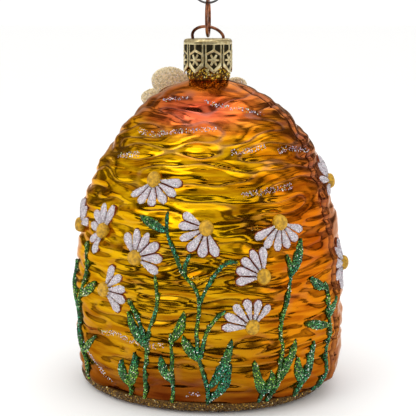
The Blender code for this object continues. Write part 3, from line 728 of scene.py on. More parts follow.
def film_material(name, stops, other_stops=None, metallic=0.85, roughness=0.22):
    """Mirror film coloured from the stops by each grain's own number, in drifts of two mixtures."""
    made, tree, shader = new_material(name, Metallic=metallic, Roughness=roughness)
    number = add(tree, "ShaderNodeAttribute", attribute_name="grain")
    mixtures = []
    for choice in (stops, other_stops or stops):
        mixtures.append(
            add(tree, "ShaderNodeValToRGB", {"Fac": number.outputs["Fac"]}, stops=choice)
        )
        mixtures[-1].color_ramp.interpolation = "CONSTANT"
    coords = add(tree, "ShaderNodeTexCoord").outputs["Object"]
    drift = add(tree, "ShaderNodeTexNoise", {"Vector": coords, "Scale": 70.0, "Detail": 2.0})
    share = add(
        tree, "ShaderNodeMapRange",
        {"Value": drift.outputs["Fac"], "From Min": 0.42, "From Max": 0.58}
    )
    colour = add(
        tree, "ShaderNodeMix",
        {0: share.outputs[0], 6: mixtures[0].outputs["Color"], 7: mixtures[1].outputs["Color"]},
        data_type="RGBA",
    )
    tree.links.new(colour.outputs[2], shader.inputs["Base Color"])
    return made


def glue_material(name, hex_colour, bump=0.3, grain_size=0.35 * MM, **values):
    """Glue that holds fine dust between the grains: matt, a little uneven and speckled."""
    made, tree, shader = new_material(name, **values)
    coords = add(tree, "ShaderNodeTexCoord").outputs["Object"]
    speckle = add(
        tree, "ShaderNodeTexNoise", {"Vector": coords, "Scale": 1 / grain_size / 2, "Detail": 2.0}
    )
    base = linear(hex_colour)
    shade = add(tree, "ShaderNodeValToRGB", {"Fac": speckle.outputs["Fac"]})
    for stop, share, at in zip(shade.color_ramp.elements, (0.55, 1.15), (0.35, 0.65)):
        stop.color = (*[min(v * share, 1) for v in base[:3]], 1)
        stop.position = at
    tree.links.new(shade.outputs["Color"], shader.inputs["Base Color"])
    rough = add(
        tree, "ShaderNodeBump",
        {"Height": speckle.outputs["Fac"], "Strength": bump, "Distance": 0.0002}
    )
    tree.links.new(rough.outputs[0], shader.inputs["Normal"])
    return made


# %% [markdown]
# ## Raised pieces
# Petals, stems and leaves are low closed forms that follow the glass. Each is a grid of places
# on the glass with a height for every point, closed below by the same grid sunk into the glass,
# so that no edge floats where the straw dips.

# %% Closed patches
SUNK = -0.7 * MM


def patch(turns, heights, lifts, low=SUNK):
    """(points, faces, top faces) of a closed form over the glass."""
    rows, columns = turns.shape
    rise = swell(turns, heights)
    top = on_glass(turns, heights, lifts + rise).reshape(-1, 3)
    under = on_glass(turns, heights, low + rise).reshape(-1, 3)
    count = rows * columns
    upper = grid_faces(rows, columns)
    lower = [[v + count for v in reversed(face)] for face in upper]
    index = np.arange(count).reshape(rows, columns)
    edge = [*index[0], *index[1:, -1], *index[-1, -2::-1], *index[-2:0:-1, 0]]
    rim = [[b, a, a + count, b + count] for a, b in zip(edge, edge[1:] + edge[:1])]
    return np.concatenate([top, under]), upper + lower + [
        [int(v) for v in face] for face in rim
    ], upper


def along_path(turns, heights, half_widths, crown, columns=7):
    """A patch that follows places on the glass, with a width and a rounded top."""
    here = on_glass(turns, heights)
    per_degree = np.linalg.norm(on_glass(turns + 0.5, heights) - here, axis=-1) / 0.5
    ahead = np.stack([np.gradient(turns) * per_degree, np.gradient(heights)], -1)
    ahead /= np.linalg.norm(ahead, axis=-1, keepdims=True)
    across = np.linspace(-1, 1, columns)
    side_x = -ahead[:, 1:2] * half_widths[:, None] * across
    side_y = ahead[:, 0:1] * half_widths[:, None] * across
    grid = slide_over(turns[:, None] + 0 * side_x, heights[:, None] + 0 * side_x, side_x, side_y)
    lifts = crown[:, None] * np.sqrt(np.clip(1 - across**2, 0, 1)) ** 0.8 + 0 * side_x
    return patch(*grid, lifts)


def tops_only(parts):
    """The visible upper surfaces of several patches, for glitter to lie on."""
    return joined([(points[: len(points) // 2], upper) for points, _, upper in parts])


# %% [markdown]
# ## Daisies
# The petals are white glitter with a breath of lilac and every other grain a flash of pink,
# blue or green. Round each petal a rust-brown margin is painted shade, the dark gap at its
# edge, and it shows between them. The centres are brushed with matt mustard paint.

# %% Daisy shapes
PETAL_LENGTH = 8.8 * MM
PETAL_ROOT = 2.2 * MM
PETAL_WIDTH = 2.9 * MM
PETAL_CROWN = 1.0 * MM
PETAL_GAP = 0.5 * MM
# The painted ground round each petal is painted shade, the dark gap at its edge.
SHADE_MARGIN = 0.35 * MM  # how far the painted ground shows round a petal
SHADE_CROWN = 0.15 * MM
CENTRE_HALF_ACROSS = 2.2 * MM
CENTRE_HALF_UP = 2.5 * MM
# name: direction of the first petal and of the last, in degrees, and how many
FANS = {
    "daisy_01": (-137, -4, 6), "daisy_02": (68, 247, 6), "daisy_03": (20, 150, 5),
    "daisy_04": (-28, 124, 6), "daisy_05": (-45, 66, 5), "daisy_06": (149, 289, 6),
    "daisy_07": (211, 339, 6), "daisy_08": (87, 190, 5), "daisy_09": (50, 180, 6),
    "daisy_10": (60, 200, 5), "daisy_11": (100, 240, 5), "daisy_12": (20, 165, 6),
    "daisy_13": (20, 160, 6), "daisy_14": (30, 185, 6),
}


def petal(turn, height, direction, step, wider=0.0, crown=PETAL_CROWN, seed=0.0):
    """One petal, narrow at the root and round at the tip; step is the angle to the next."""
    share = np.sin(np.linspace(0, np.pi / 2, 12))
    reach = PETAL_ROOT - wider + share * (
        PETAL_LENGTH - PETAL_ROOT + 2 * wider
    ) * (1 + 0.05 * math.sin(7 * seed))
    body = 0.34 + 0.66 * smooth_step(share, 0.0, 0.6)
    tip = np.sqrt(np.clip(1 - np.clip((share - 0.66) / 0.345, 0, 1) ** 2, 0, 1))
    room = reach * math.tan(step / 2) - PETAL_GAP / 2
    widths = np.minimum(
        (PETAL_WIDTH / 2) * (1 + 0.09 * math.sin(11 * seed)) * body, room
    ) * tip + wider
    across = np.linspace(-1, 1, 7)
    x = reach[:, None] * math.cos(direction) - widths[:, None] * across * math.sin(direction)
    y = reach[:, None] * math.sin(direction) + widths[:, None] * across * math.cos(direction)
    grid = slide_over(turn + 0 * x, height + 0 * x, x, y)
    round_top = (1 - across**2) ** 0.5
    ends = 0.35 + 0.65 * np.sqrt(np.clip(1 - share**6, 0, 1))
    folds = 0.12 * MM * np.cos(3 * np.pi * across)
    lifts = crown * ends[:, None] * (0.35 + 0.65 * round_top) + folds
    return patch(*grid, lifts)


def disc_patch(turn, height, half_across, half_up, lift_at, rings=9, sides=28):
    """A closed dome: lift_at gives the height from the share of the radius and the angle."""
    shares = np.linspace(1, 0.04, rings)
    angles = np.linspace(0, 2 * np.pi, sides, endpoint=False)
    share, angle = np.meshgrid(shares, angles, indexing="ij")
    grid = slide_over(
        turn + 0 * share, height + 0 * share,
        share * half_across * np.cos(angle), share * half_up * np.sin(angle),
    )
    rise = swell(*grid)
    top = on_glass(*grid, lift_at(share, angle) + rise)
    skirt = on_glass(grid[0][:1], grid[1][:1], SUNK + rise[:1])
    points = np.concatenate([skirt, top]).reshape(-1, 3)
    faces = grid_faces(rings + 1, sides, wraps=True)
    faces += [list(range(sides)), list(range(rings * sides, (rings + 1) * sides))]
    return points, faces, share, angle


def centre_dome(share, angle):
    """The height of a daisy's centre, a low button."""
    return 1.0 * MM + 1.7 * MM * np.sqrt(np.clip(1 - share**2.4, 0, 1))


# %% Daisy materials
# Glue over the moulding, full of white dust: a dry, lilac grey bed under the grains.
petal_glue = glue_material("white glitter glue", "#CFC6CB", Roughness=0.55)
# Iridescent film cut small: mostly white, with an odd pink, blue or green flash.
white_film = film_material(
    "white iridescent film",
    [(0.0, "#F3EEF2"), (0.30, "#D9CFD8"), (0.52, "#BDB2BE"), (0.70, "#FFFFFF"), (0.82, "#E6CBE0"),
     (0.90, "#C3DDE4"), (0.96, "#A89AA8")],
    metallic=0.55, roughness=0.3,
)
# Thin metallic rust brown, painted shade: the dark edge that sets each petal off from the gold.
petal_shade_paint = glue_material("rust brown painted shade", "#8E3F10", bump=0.15, Roughness=0.25, Metallic=0.6)
# Matt brushed paint: it takes no mirror light, so the centres read as solid dots.
mustard = glue_material("mustard paint", "#C8960C", bump=0.35, grain_size=0.5 * MM, Roughness=0.55)

# %% Daisies
petal_tops, petal_shade_margins = [], []
for name, (first, final, count) in FANS.items():
    turn, height = place_of(f"{name}_centre")
    directions, step = np.linspace(math.radians(final), math.radians(first), count, retstep=True)
    petals = []
    for i, direction in enumerate(directions):
        here = (turn, height, direction, abs(step))
        petals.append(petal(*here, seed=i + turn))
        petal_shade_margins.append(petal(*here, wider=SHADE_MARGIN, crown=SHADE_CROWN, seed=i + turn))
    petal_tops += petals
    fan = mesh_piece(f"{name}_white_petals", *joined([(p, f) for p, f, _ in petals]), petal_glue)
    settle(fan, "ornament", "white_glitter", f"{name}_petals")
    points, faces, _, _ = disc_patch(turn, height, CENTRE_HALF_ACROSS, CENTRE_HALF_UP, centre_dome)
    heart = mesh_piece(f"{name}_mustard_centre", points, faces, mustard)
    settle(heart, "ornament", "mustard_enamel", f"{name}_centre")

# The rust-brown margins round the petals are painted shade.
petal_shade_piece = mesh_piece(
    "daisy_petal_shade", *joined([(p, f) for p, f, _ in petal_shade_margins]), petal_shade_paint
)
settle(petal_shade_piece, "ornament", "lacquered_mirror_glass")
dust(
    "daisy_glitter", tops_only(petal_tops), 0.42 * MM, 6.0, white_film, "white_glitter", tilt=0.45,
    seed=5
)

# %% [markdown]
# ## Stems and leaves
# Each sprig grows from the foot band. Its route is the solid's own: a list of given places,
# smoothed by a curve that passes through every one. Stems are half round and leaves are
# lens shaped with a raised midrib; both carry green glitter that runs from lime to teal.

# %% Sprig routes
STEM_WIDTH = 1.35 * MM
STEM_CROWN = 0.95 * MM
LEAF_WIDTH = 3.3 * MM
FOOT = 3.6  # height of every sprig's foot, in mm
# Stems as (turn, height in mm) points, then leaves as base and tip.
SPRIGS = {
    "sprig_left": (
        [[(-24, FOOT), (-23, 14), (-22, 22), (-21, 28), (-18, 35), (-18, 41), (-19, 45.5)],
         [(-22, 21.5), (-25, 29), (-31, 36.5)]],
        [((-22, 21.5), (-31, 32.5))],
    ),
    "sprig_small_left": (
        [[(-11, FOOT), (-12, 12), (-12, 22), (-12.5, 27)]],
        [((-12.5, 24), (-7, 34.5)), ((-12, 11), (-16.5, 19.5))],
    ),
    "sprig_middle": (
        [[(4.5, FOOT), (2, 10.5), (-1, 19.5), (-2, 27.5), (-1, 34.5), (-1.5, 40), (-4, 43.5),
          (-8, 47), (-11, 52.5), (-14, 58.5), (-15, 65)],
         [(-6.8, 45.8), (-6.5, 49), (-4.5, 52.5)],
         [(-1.2, 36.5), (3, 43.5), (7, 48), (11, 50.2), (14.5, 50)],
         [(-0.6, 19), (2, 28), (6, 33), (9.5, 35.2)]],
        [
            ((-0.6, 18.5), (-7.5, 26.5)), ((3, 9.5), (12, 26)), ((4.2, 4.5), (11.5, 18.5)),
            ((-14, 59), (-27, 63))
        ],
    ),
    "leaf_pair_right": (
        [[(26.5, FOOT), (26.5, 9)]], [((26.5, 7), (21, 19)), ((26.5, 7), (28, 15.5))]
    ),
    "sprig_right": (
        [
            [
                (30.5, FOOT), (32, 14), (33, 23), (32.5, 27), (34, 34), (36, 40), (38, 45),
                (37.5, 48.5), (36.5, 51.5)
            ]
        ],
        [((38, 44.5), (44.5, 56)), ((31.5, 11), (39.5, 24.5))],
    ),
    "leaf_pair_far_right": (
        [[(45.5, FOOT), (45.5, 10.5)]], [((45.5, 8.5), (41.5, 18)), ((45.5, 8.5), (49.5, 22.5))],
    ),
    "sprig_right_edge": (
        [[(59, FOOT), (60, 12), (60, 21), (60, 28), (59, 36), (59.5, 40.5)]],
        [((59, 38.5), (49, 43)), ((60, 26.5), (45.5, 28.5)), ((60, 29), (66, 35))],
    ),
    "sprig_left_edge": (
        [[(-61, FOOT), (-65, 14), (-72, 20.5), (-69, 28.5), (-61, 38.5), (-60, 46), (-62, 51.5)]],
        [((-65, 32.5), (-51.5, 39.5)), ((-70.5, 27), (-77, 43)), ((-65, 13), (-52, 21))],
    ),
    "leaf_pair_left": (
        [[(-31, FOOT), (-31, 9.5)]], [((-31, 7.5), (-34, 16.5)), ((-31, 7.5), (-28, 19.5))]
    ),
    "sprig_back_right": (
        [
            [(116, FOOT), (114, 15), (117, 27), (121, 39), (122, 52.5)],
            [(114.5, 16.5), (106, 28), (101, 34.5)]
        ],
        [((114, 12), (125, 24)), ((120, 36), (111, 44))],
    ),
    "sprig_back_middle": (
        [[(156, FOOT), (154, 14), (151, 25), (150, 34.5)]],
        [((154.5, 12), (164, 25)), ((152, 20), (142, 30))],
    ),
    "sprig_back_left": (
        [
            [(-116, FOOT), (-114, 15), (-117, 28), (-120, 40), (-120, 46.5)],
            [(-114.5, 16), (-124, 26), (-130, 34)]
        ],
        [((-114, 11), (-103, 24)), ((-119, 36), (-109, 44))],
    ),
}


def smooth_route(points, spacing=0.8 * MM):
    """Turns and heights along a smooth curve through points given in degrees and millimetres."""
    places = np.array([(turn, height * MM) for turn, height in points])
    ends = np.concatenate([places[:1], places, places[-1:]])
    route = []
    for before, a, b, after in zip(ends, ends[1:], ends[2:], ends[3:]):
        span = np.linalg.norm(on_glass(*b) - on_glass(*a))
        s = np.arange(max(2, round(span / spacing)))[:, None] / max(2, round(span / spacing))
        leave, arrive = (b - before) / 2, (after - a) / 2
        route.append(
            (2 * s**3 - 3 * s**2 + 1) * a + (s**3 - 2 * s**2 + s) * leave
            + (3 * s**2 - 2 * s**3) * b + (s**3 - s**2) * arrive
        )
    return np.concatenate([*route, places[-1:]]).T


def stem(points):
    """A half-round stem along a route."""
    turns, heights = smooth_route(points)
    share = np.linspace(0, 1, len(turns))
    ends = np.clip(np.minimum(share, 1 - share) * len(turns) / 2, 0.15, 1) ** 0.5
    widths = STEM_WIDTH / 2 * ends * (1.0 - 0.15 * share)
    return along_path(turns, heights, widths, STEM_CROWN * ends)


def leaf(base, tip):
    """A leaf from base to tip that bows outwards."""
    bow = 1.2 * np.sin(np.linspace(0, np.pi, 14)) * (1 if tip[0] > base[0] else -1)
    turns = np.linspace(base[0], tip[0], 14) + bow
    heights = np.linspace(base[1], tip[1], 14) * MM
    share = np.linspace(0, 1, 14)
    widths = LEAF_WIDTH / 2 * (
        0.12 + 0.88 * np.sin(np.pi * share**0.85) ** 0.8
    ) * np.where(share > 0.97, 0.3, 1)
    return along_path(turns, heights, widths, 0.85 * MM + 0 * share, columns=9)


# %% Sprigs
# Deep green glue, a little wet: the dark between the grains.
green_glue = glue_material("green glitter glue", "#24501E", Roughness=0.4)
# Two mixtures of mirror film, lime and teal, so that the green drifts along each sprig. Their
# near-white grains are painted glints and their darkest ones painted shade.
green_film = film_material(
    "lime and teal film",
    [(0.0, "#1A3E12"), (0.22, "#62AC30"), (0.42, "#A4E048"), (0.56, "#24561A"), (0.74, "#D8F470"),
     (0.84, "#6E9824"), (0.92, "#FFFFD8")],
    [(0.0, "#082C26"), (0.24, "#229878"), (0.42, "#3EB886"), (0.56, "#0E403C"), (0.74, "#68D0B4"),
     (0.84, "#3E9C34"), (0.92, "#F0FFFA")],
    roughness=0.14,
)
green_tops = []
for name, (stems, leaves) in SPRIGS.items():
    parts = [stem(points) for points in stems] + [leaf(*ends) for ends in leaves]
    green_tops += parts
    piece = mesh_piece(f"{name}_green", *joined([(p, f) for p, f, _ in parts]), green_glue)
    settle(piece, "ornament", "green_glitter", name)
dust(
    "green_glitter", tops_only(green_tops), 0.55 * MM, 5.5, green_film, "green_glitter", tilt=0.8,
    seed=8
)

# %% [markdown]
# ## Glitter bands and streaks
# A coarse gold glitter hides the joint of cap and glass, a finer brown-gold one rings the foot,
# and loose iridescent streaks are trailed along some of the straw.

# %% Bands
# Dark resinous glue under both gold bands: brown wherever a grain is missing.
gold_glue = glue_material(
    "dark gold glue", "#62420F", bump=0.5, grain_size=0.5 * MM, Roughness=0.5, Metallic=0.4
)
# Coarse gold film: its nearly white grains are painted glints and its nearly black ones
# painted shade, which make a hard sparkle at the neck.
gold_film = film_material(
    "gold film",
    [
        (0.0, "#3A260A"), (0.20, "#8A6018"), (0.40, "#C99A28"), (0.58, "#4A300E"),
        (0.68, "#F0CA48"), (0.88, "#FFF4B0")
    ],
)
# The foot's finer, browner film, which reads as a dull gold rim; its nearly white grains are
# painted glints.
bronze_film = film_material(
    "bronze film",
    [
        (0.0, "#3A280E"), (0.22, "#7A5820"), (0.50, "#A87C30"), (0.70, "#4A3412"),
        (0.82, "#D8AC48"), (0.94, "#FFEDB4")
    ],
)


def band(name, low, high, lift, thickness, rows=7, sides=180):
    """A raised strip of glue round the glass, and its outer face for the glitter."""
    turns = np.linspace(0, 360, sides, endpoint=False)
    profile = np.linspace(0, np.pi, rows)
    heights = low + (high - low) * (1 - np.cos(profile)) / 2
    grid = np.meshgrid(turns, heights)
    wave = 0.12 * MM * noise_at(on_glass(*grid), (2 * MM, 2 * MM, 2 * MM), 5.5)
    outer = on_glass(*grid, lift + thickness * (0.25 + 0.75 * np.sin(profile))[:, None] + wave)
    inner = on_glass(*grid, lift - 0.5 * MM)[::-1]
    points = np.concatenate([outer, inner]).reshape(-1, 3)
    faces = grid_faces(2 * rows, sides, wraps=True)
    end = (2 * rows - 1) * sides
    faces += [[end + i, end + (i + 1) % sides, (i + 1) % sides, i] for i in range(sides)]
    return (points, faces), (outer.reshape(-1, 3), grid_faces(rows, sides, wraps=True))


neck_low, neck_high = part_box("neck_glitter_band")
neck_band, neck_face = band("neck_band", neck_low.z - 0.2 * MM, neck_high.z, 0.0, 0.7 * MM)
neck_piece = mesh_piece("neck_band", *neck_band, gold_glue)
settle(neck_piece, "ornament", "gold_glitter", "neck_glitter_band")
dust("neck_glitter", neck_face, 0.80 * MM, 4.5, gold_film, "gold_glitter", tilt=0.8, seed=2)

base_band, base_face = band("base_band", 1.0 * MM, 4.2 * MM, 0.1 * MM, 0.9 * MM, sides=240)
base_piece = mesh_piece("base_band", *base_band, gold_glue)
settle(base_piece, "ornament", "gold_glitter", "base_glitter_band")
dust("base_glitter", base_face, 0.55 * MM, 4.0, bronze_film, "gold_glitter", tilt=0.7, seed=3)

# %% Streaks
# Each is (turn, height in mm) points along the straw.
SILVER_STREAKS = [
    [(-47, 97.4), (-32, 97.9), (-19, 98.6)], [(-2, 97), (19, 95.6), (44, 93.2)],
    [(-50, 88), (-39, 87.2), (-24, 88.3), (-12, 88.8), (6, 89.8)], [(-57, 79.8), (-38, 80.9)],
    [(12, 82.6), (24, 83.3), (34, 84.3)], [(17, 70.2), (28, 70.9), (44, 72)],
    [(41, 82.3), (52, 83.1), (70, 81)],
    [(-48, 22.6), (-38, 24.3), (-30, 23.1), (-21, 22.6), (-15, 23.2)],
    [(-6, 6.6), (0, 7.3)], [(-63, 17.4), (-53, 12.4), (-40, 6.7)],
    [(110, 84), (128, 86), (146, 84)], [(-160, 66), (-146, 68), (-130, 66)],
    [(170, 30), (186, 32), (204, 31)],
    [(100, 70), (112, 71)], [(-105, 88), (-122, 90)],
]
GOLD_STREAKS = [[(-5, 44.8), (1, 45.3), (5, 44.7)], [(136, 52), (146, 53)], [(20, 60), (24, 60.4)]]
STREAK_WIDTH = 1.8 * MM


def trail(points):
    """A low ribbon on top of the straw for a streak's grains to lie on."""
    turns, heights = smooth_route(points, 1.0 * MM)
    offsets = np.linspace(-0.5, 0.5, 5) * STREAK_WIDTH
    flat = np.zeros((len(turns), len(offsets)))
    grid = slide_over(turns[:, None] + flat, heights[:, None] + flat, flat, offsets + flat)
    lift, _ = straw(*grid)
    return on_glass(*grid, lift + 0.10 * MM).reshape(-1, 3), grid_faces(len(turns), 5)


# Film with lilac and green flashes, thin along the straw, like frost.
iridescent_film = film_material(
    "iridescent film",
    [(0.0, "#F4EFFA"), (0.28, "#C9BCD8"), (0.45, "#E8C8E0"), (0.58, "#FFFFFF"), (0.72, "#A8C8E8"),
     (0.84, "#C8E8A0"), (0.93, "#8A7A98")],
    metallic=0.7, roughness=0.25,
)
dust(
    "silver_streaks", joined([trail(p) for p in SILVER_STREAKS]), 0.40 * MM, 2.6, iridescent_film,
    "white_glitter", tilt=0.7, seed=12
)
dust(
    "gold_streaks", joined([trail(p) for p in GOLD_STREAKS]), 0.40 * MM, 2.6, gold_film,
    "gold_glitter", tilt=0.7, seed=13
)

# %% [markdown]
# ## The bee
# It sits on the far shoulder, and only the rims of its wings show from the front. The body is
# moulded in the glass in three lumps and painted in bands; the wings are four flat lobes dusted
# with pearl, and raised veins fan out over each. They keep the places of their CAD nodes, which
# stand clear of the glass and of the body: the roots that hold a real bee's wings aren't made.

# %% Bee body
# Gloss enamel over the moulding: soft highlights over black and amber bands.
bee_paint, tree, shader = new_material(
    "banded bee enamel", Roughness=0.3, Coat_Weight=0.6, Coat_Roughness=0.1
)
along_value = add(tree, "ShaderNodeAttribute", attribute_name="banding")
stripes = add(
    tree, "ShaderNodeValToRGB", {"Fac": along_value.outputs["Fac"]},
    stops=[(0.0, "#1C120A"), (0.46, "#2A1A0C"), (0.54, "#D9920E"), (1.0, "#F0B020")],
)
fuzz_coords = add(tree, "ShaderNodeTexCoord").outputs["Object"]
fuzz = add(tree, "ShaderNodeTexNoise", {"Vector": fuzz_coords, "Scale": 1800.0, "Detail": 2.0})
fuzz_bump = add(
    tree, "ShaderNodeBump", {"Height": fuzz.outputs["Fac"], "Strength": 0.5, "Distance": 0.0003}
)
tree.links.new(stripes.outputs["Color"], shader.inputs["Base Color"])
tree.links.new(fuzz_bump.outputs[0], shader.inputs["Normal"])

BEE_BANDS = 4.5


def bee_lump(name, half_across, half_up, rise, banded):
    """One painted lump of the body, over its CAD node."""
    turn, height = place_of(name)
    rib = 0.22 * MM if banded else 0.0

    def lift_at(share, angle):
        up = share * np.sin(angle)
        dome = rise * np.sqrt(np.clip(1 - share**2.2, 0, 1))
        return 0.25 * MM + dome + rib * np.cos(2 * np.pi * BEE_BANDS * up / 2) * (1 - share)

    points, faces, share, angle = disc_patch(
        turn, height, half_across, half_up, lift_at, rings=16, sides=40
    )
    up = share * np.sin(angle)
    banding = 0.5 + 0.5 * np.sin(
        np.pi * BEE_BANDS * (up + 0.12)
    ) if banded else 0.25 + 0.5 * (np.abs(up) > 0.55)
    banding = np.concatenate([banding[:1], banding])
    lump = mesh_piece(f"{name}_painted", points, faces, bee_paint, banding=banding)
    settle(lump, "ornament", "bee_enamel", name)


bee_lump("bee_abdomen", 5.0 * MM, 7.0 * MM, 4.6 * MM, True)
bee_lump("bee_thorax", 3.6 * MM, 3.4 * MM, 4.2 * MM, False)
bee_lump("bee_head", 2.8 * MM, 2.6 * MM, 3.2 * MM, False)

# %% Wings
# Cream glue: the warm body of each wing.
pearl_glue = glue_material("pearl glue", "#ECDAB0", bump=0.4, grain_size=0.4 * MM, Roughness=0.5)
# Pearl flakes with little metal in them: a soft sheen and no sparkle.
pearl_film = film_material(
    "pearl film",
    [
        (0.0, "#EBDCB6"), (0.30, "#D6BC88"), (0.55, "#F8F0DA"), (0.74, "#BFA06A"),
        (0.86, "#FFFFFF"), (0.94, "#E8D8EC")
    ],
    metallic=0.2, roughness=0.4,
)
WING_THICKNESS = 2.6 * MM
# half length, half width, its tip's direction in the XZ plane, how far its top leans back
WINGS = {
    "bee_wing_upper_left": (7.9, 6.4, 163, 24),
    "bee_wing_lower_left": (7.9, 4.6, 178, 26),
    "bee_wing_upper_right": (5.8, 4.2, 36, 24),
    "bee_wing_lower_right": (6.4, 3.7, 4, 26),
}


def wing(name, half_length, half_wide, direction, lean):
    """One veined lobe at the middle of its CAD node."""
    rows, sides = 28, 56
    along = np.linspace(0.03, np.pi - 0.03, rows)
    about = np.linspace(0, 2 * np.pi, sides, endpoint=False)
    polar, about = np.meshgrid(along, about, indexing="ij")
    x = np.cos(polar)
    y, z = np.sin(polar) * np.cos(about), np.sin(polar) * np.sin(about)
    fan = np.arctan2(z, x + 1.25)
    veins = 0.10 * np.cos(fan * 16) * np.abs(y) ** 0.3
    narrow = 0.80 + 0.20 * smooth_step(x, -1, 0.3)
    shape = np.stack(
        [x * half_length * MM, y * (WING_THICKNESS / 2) * (1 + veins), z * half_wide * MM * narrow],
        -1
    )
    turned = Matrix.Rotation(math.radians(lean), 3, "X") @ Matrix.Rotation(
        math.radians(-direction), 3, "Y"
    )
    low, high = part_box(name)
    points = shape.reshape(-1, 3) @ np.array(turned).T + np.array((low + high) / 2)
    faces = grid_faces(rows, sides, wraps=True)
    faces += [list(range(sides)), list(range((rows - 1) * sides, rows * sides))]
    piece = mesh_piece(f"{name}_pearl", points, faces, pearl_glue)
    settle(piece, "ornament", "pearl_glitter", name)
    return points, faces


wing_surfaces = joined([wing(name, *values) for name, values in WINGS.items()])
dust("wing_glitter", wing_surfaces, 0.40 * MM, 4.5, pearl_film, "pearl_glitter", tilt=0.4, seed=21)

# %% [markdown]
# ## The stamped cap
# A crown cap is drawn from thin sheet: eight panels, each stamped with a pointed six-sided
# frame, a six-rayed star inside it and two small windows above. Years of handling leave the
# raised lines bright and the hollows nearly black. The stamping is real relief here, so that
# it still reads from the side, and the hollows are stored on the mesh for the dark patina.

# %% Cap relief
cap_low, cap_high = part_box("hanger_cap")
CAP_TOP = cap_high.z
CAP_TIP = cap_low.z
CAP_RADIUS = (cap_high.x - cap_low.x) / 2
CAP_PANELS = 8
CAP_PANEL_TURN = -4
CAP_POINT = 2.5 * MM
CAP_SHOULDER = 1.1 * MM
CAP_WALL = 0.45 * MM
PANEL_HALF = math.pi * CAP_RADIUS / CAP_PANELS
LINE = 0.26 * MM  # half the width of a stamped line


def bar(distance, half=LINE, edge=0.14 * MM):
    """1 on a stamped line and 0 away from it, from the distance to its middle."""
    return 1 - smooth_step(np.abs(distance), half, half + edge)


def stamping(x, y):
    """(relief from -1 to 1, patina from 0 to 1) x across a panel and y above its tip, in metres."""
    side = np.abs(x)
    half = PANEL_HALF - 0.35 * MM
    low_corner, high_corner, apex = 2.9 * MM, 6.2 * MM, 7.6 * MM
    lower = (y - low_corner * side / half) / math.hypot(1, low_corner / half) - LINE
    upper = (
        apex - (apex - high_corner) * side / half - y
    ) / math.hypot(1, (apex - high_corner) / half)
    inside = np.minimum(np.minimum(lower, upper), half - side)
    frame_line = bar(inside - LINE)
    r = np.hypot(x, y - 4.3 * MM)
    angle = np.arctan2(y - 4.3 * MM, x)
    nearest = (angle + np.pi / 6) % (np.pi / 3) - np.pi / 6
    ray = bar(
        r * np.sin(nearest), LINE * (1.35 - 0.45 * r / MM / 2)
    ) * (r < 2.0 * MM) * (r > 0.15 * MM)
    window_top = 9.3 * MM
    windows = (inside < -0.15 * MM) & (y > 4 * MM) & (y < window_top)
    rib = np.maximum(bar(side, LINE * 0.9), bar(side - PANEL_HALF + 0.5 * MM, LINE * 0.8))
    hollow = np.where(inside > 0.35 * MM, 1 - ray, 0)
    hollow = np.where(windows, 1 - rib, hollow)
    hollow = np.where((side > PANEL_HALF - 0.32 * MM) & (y < window_top), 0.8, hollow)
    raised = np.maximum(frame_line, np.maximum(ray, np.where(windows, rib, 0)))
    return 0.5 * raised - hollow, np.clip(hollow * (1 - frame_line), 0, 1)


# %% Cap mesh
CAP_COLUMNS = CAP_PANELS * 46
PANEL_TURN = 360 / CAP_PANELS
CAP_ROWS = 84
cap_turns = CAP_PANEL_TURN + np.linspace(0, 360, CAP_COLUMNS, endpoint=False)
panel_share = ((cap_turns - CAP_PANEL_TURN) % PANEL_TURN) / PANEL_TURN
panel_x = (panel_share - 0.5) * 2 * PANEL_HALF
edge_y = CAP_POINT * np.abs(2 * panel_share - 1)
side_top = CAP_TOP - CAP_SHOULDER - CAP_TIP


def cap_ring(y, reach):
    """Points of the cap at heights above the tip and distances from the axis."""
    a = np.radians(cap_turns)
    return np.stack([reach * np.sin(a), -reach * np.cos(a), CAP_TIP + y + 0 * a], -1)


cap_rings, patina = [], []
flat_by = 0.25 * MM  # the panels are a little flatter than a round cap
flatness = -flat_by * (1 - np.cos(np.pi * (2 * panel_share - 1))) / 2
for share in np.linspace(0, 1, CAP_ROWS):
    y = edge_y + (side_top - edge_y) * share
    relief, dark = stamping(panel_x, y)
    cap_rings.append(cap_ring(y, CAP_RADIUS + flatness + 0.17 * MM * relief))
    patina.append(dark)
for angle in np.linspace(0, np.pi / 2, 9)[1:]:
    y = side_top + CAP_SHOULDER * math.sin(angle)
    cap_rings.append(cap_ring(y, CAP_RADIUS + flatness - CAP_SHOULDER * (1 - math.cos(angle))))
    patina.append(0.25 * bar(panel_share, 0.01, 0.03) + 0 * panel_share)
for reach in (0.7, 0.45, 0.2):
    cap_rings.append(cap_ring(CAP_TOP - CAP_TIP - 0.05 * MM, CAP_RADIUS * reach + 0 * cap_turns))
    patina.append(0.1 + 0 * panel_share)
for reach in (0.2, 0.6, 0.85):
    cap_rings.append(cap_ring(CAP_TOP - CAP_TIP - CAP_WALL, CAP_RADIUS * reach + 0 * cap_turns))
    patina.append(0.4 + 0 * panel_share)
for share in np.linspace(1, 0, 8):
    y = edge_y + (side_top - CAP_WALL / 2 - edge_y) * share
    cap_rings.append(cap_ring(y, CAP_RADIUS - CAP_WALL + flatness))
    patina.append(0.4 + 0 * panel_share)
cap_faces = grid_faces(len(cap_rings), CAP_COLUMNS, wraps=True)
plate_row = CAP_ROWS + 8 + 3
cap_faces = [f for f in cap_faces if not (f[0] // CAP_COLUMNS == plate_row - 1)]
for row in (plate_row - 1, plate_row):
    cap_faces.append(list(range(row * CAP_COLUMNS, (row + 1) * CAP_COLUMNS)))
end = (len(cap_rings) - 1) * CAP_COLUMNS
cap_faces += [
    [end + i, end + (i + 1) % CAP_COLUMNS, (i + 1) % CAP_COLUMNS, i] for i in range(CAP_COLUMNS)
]

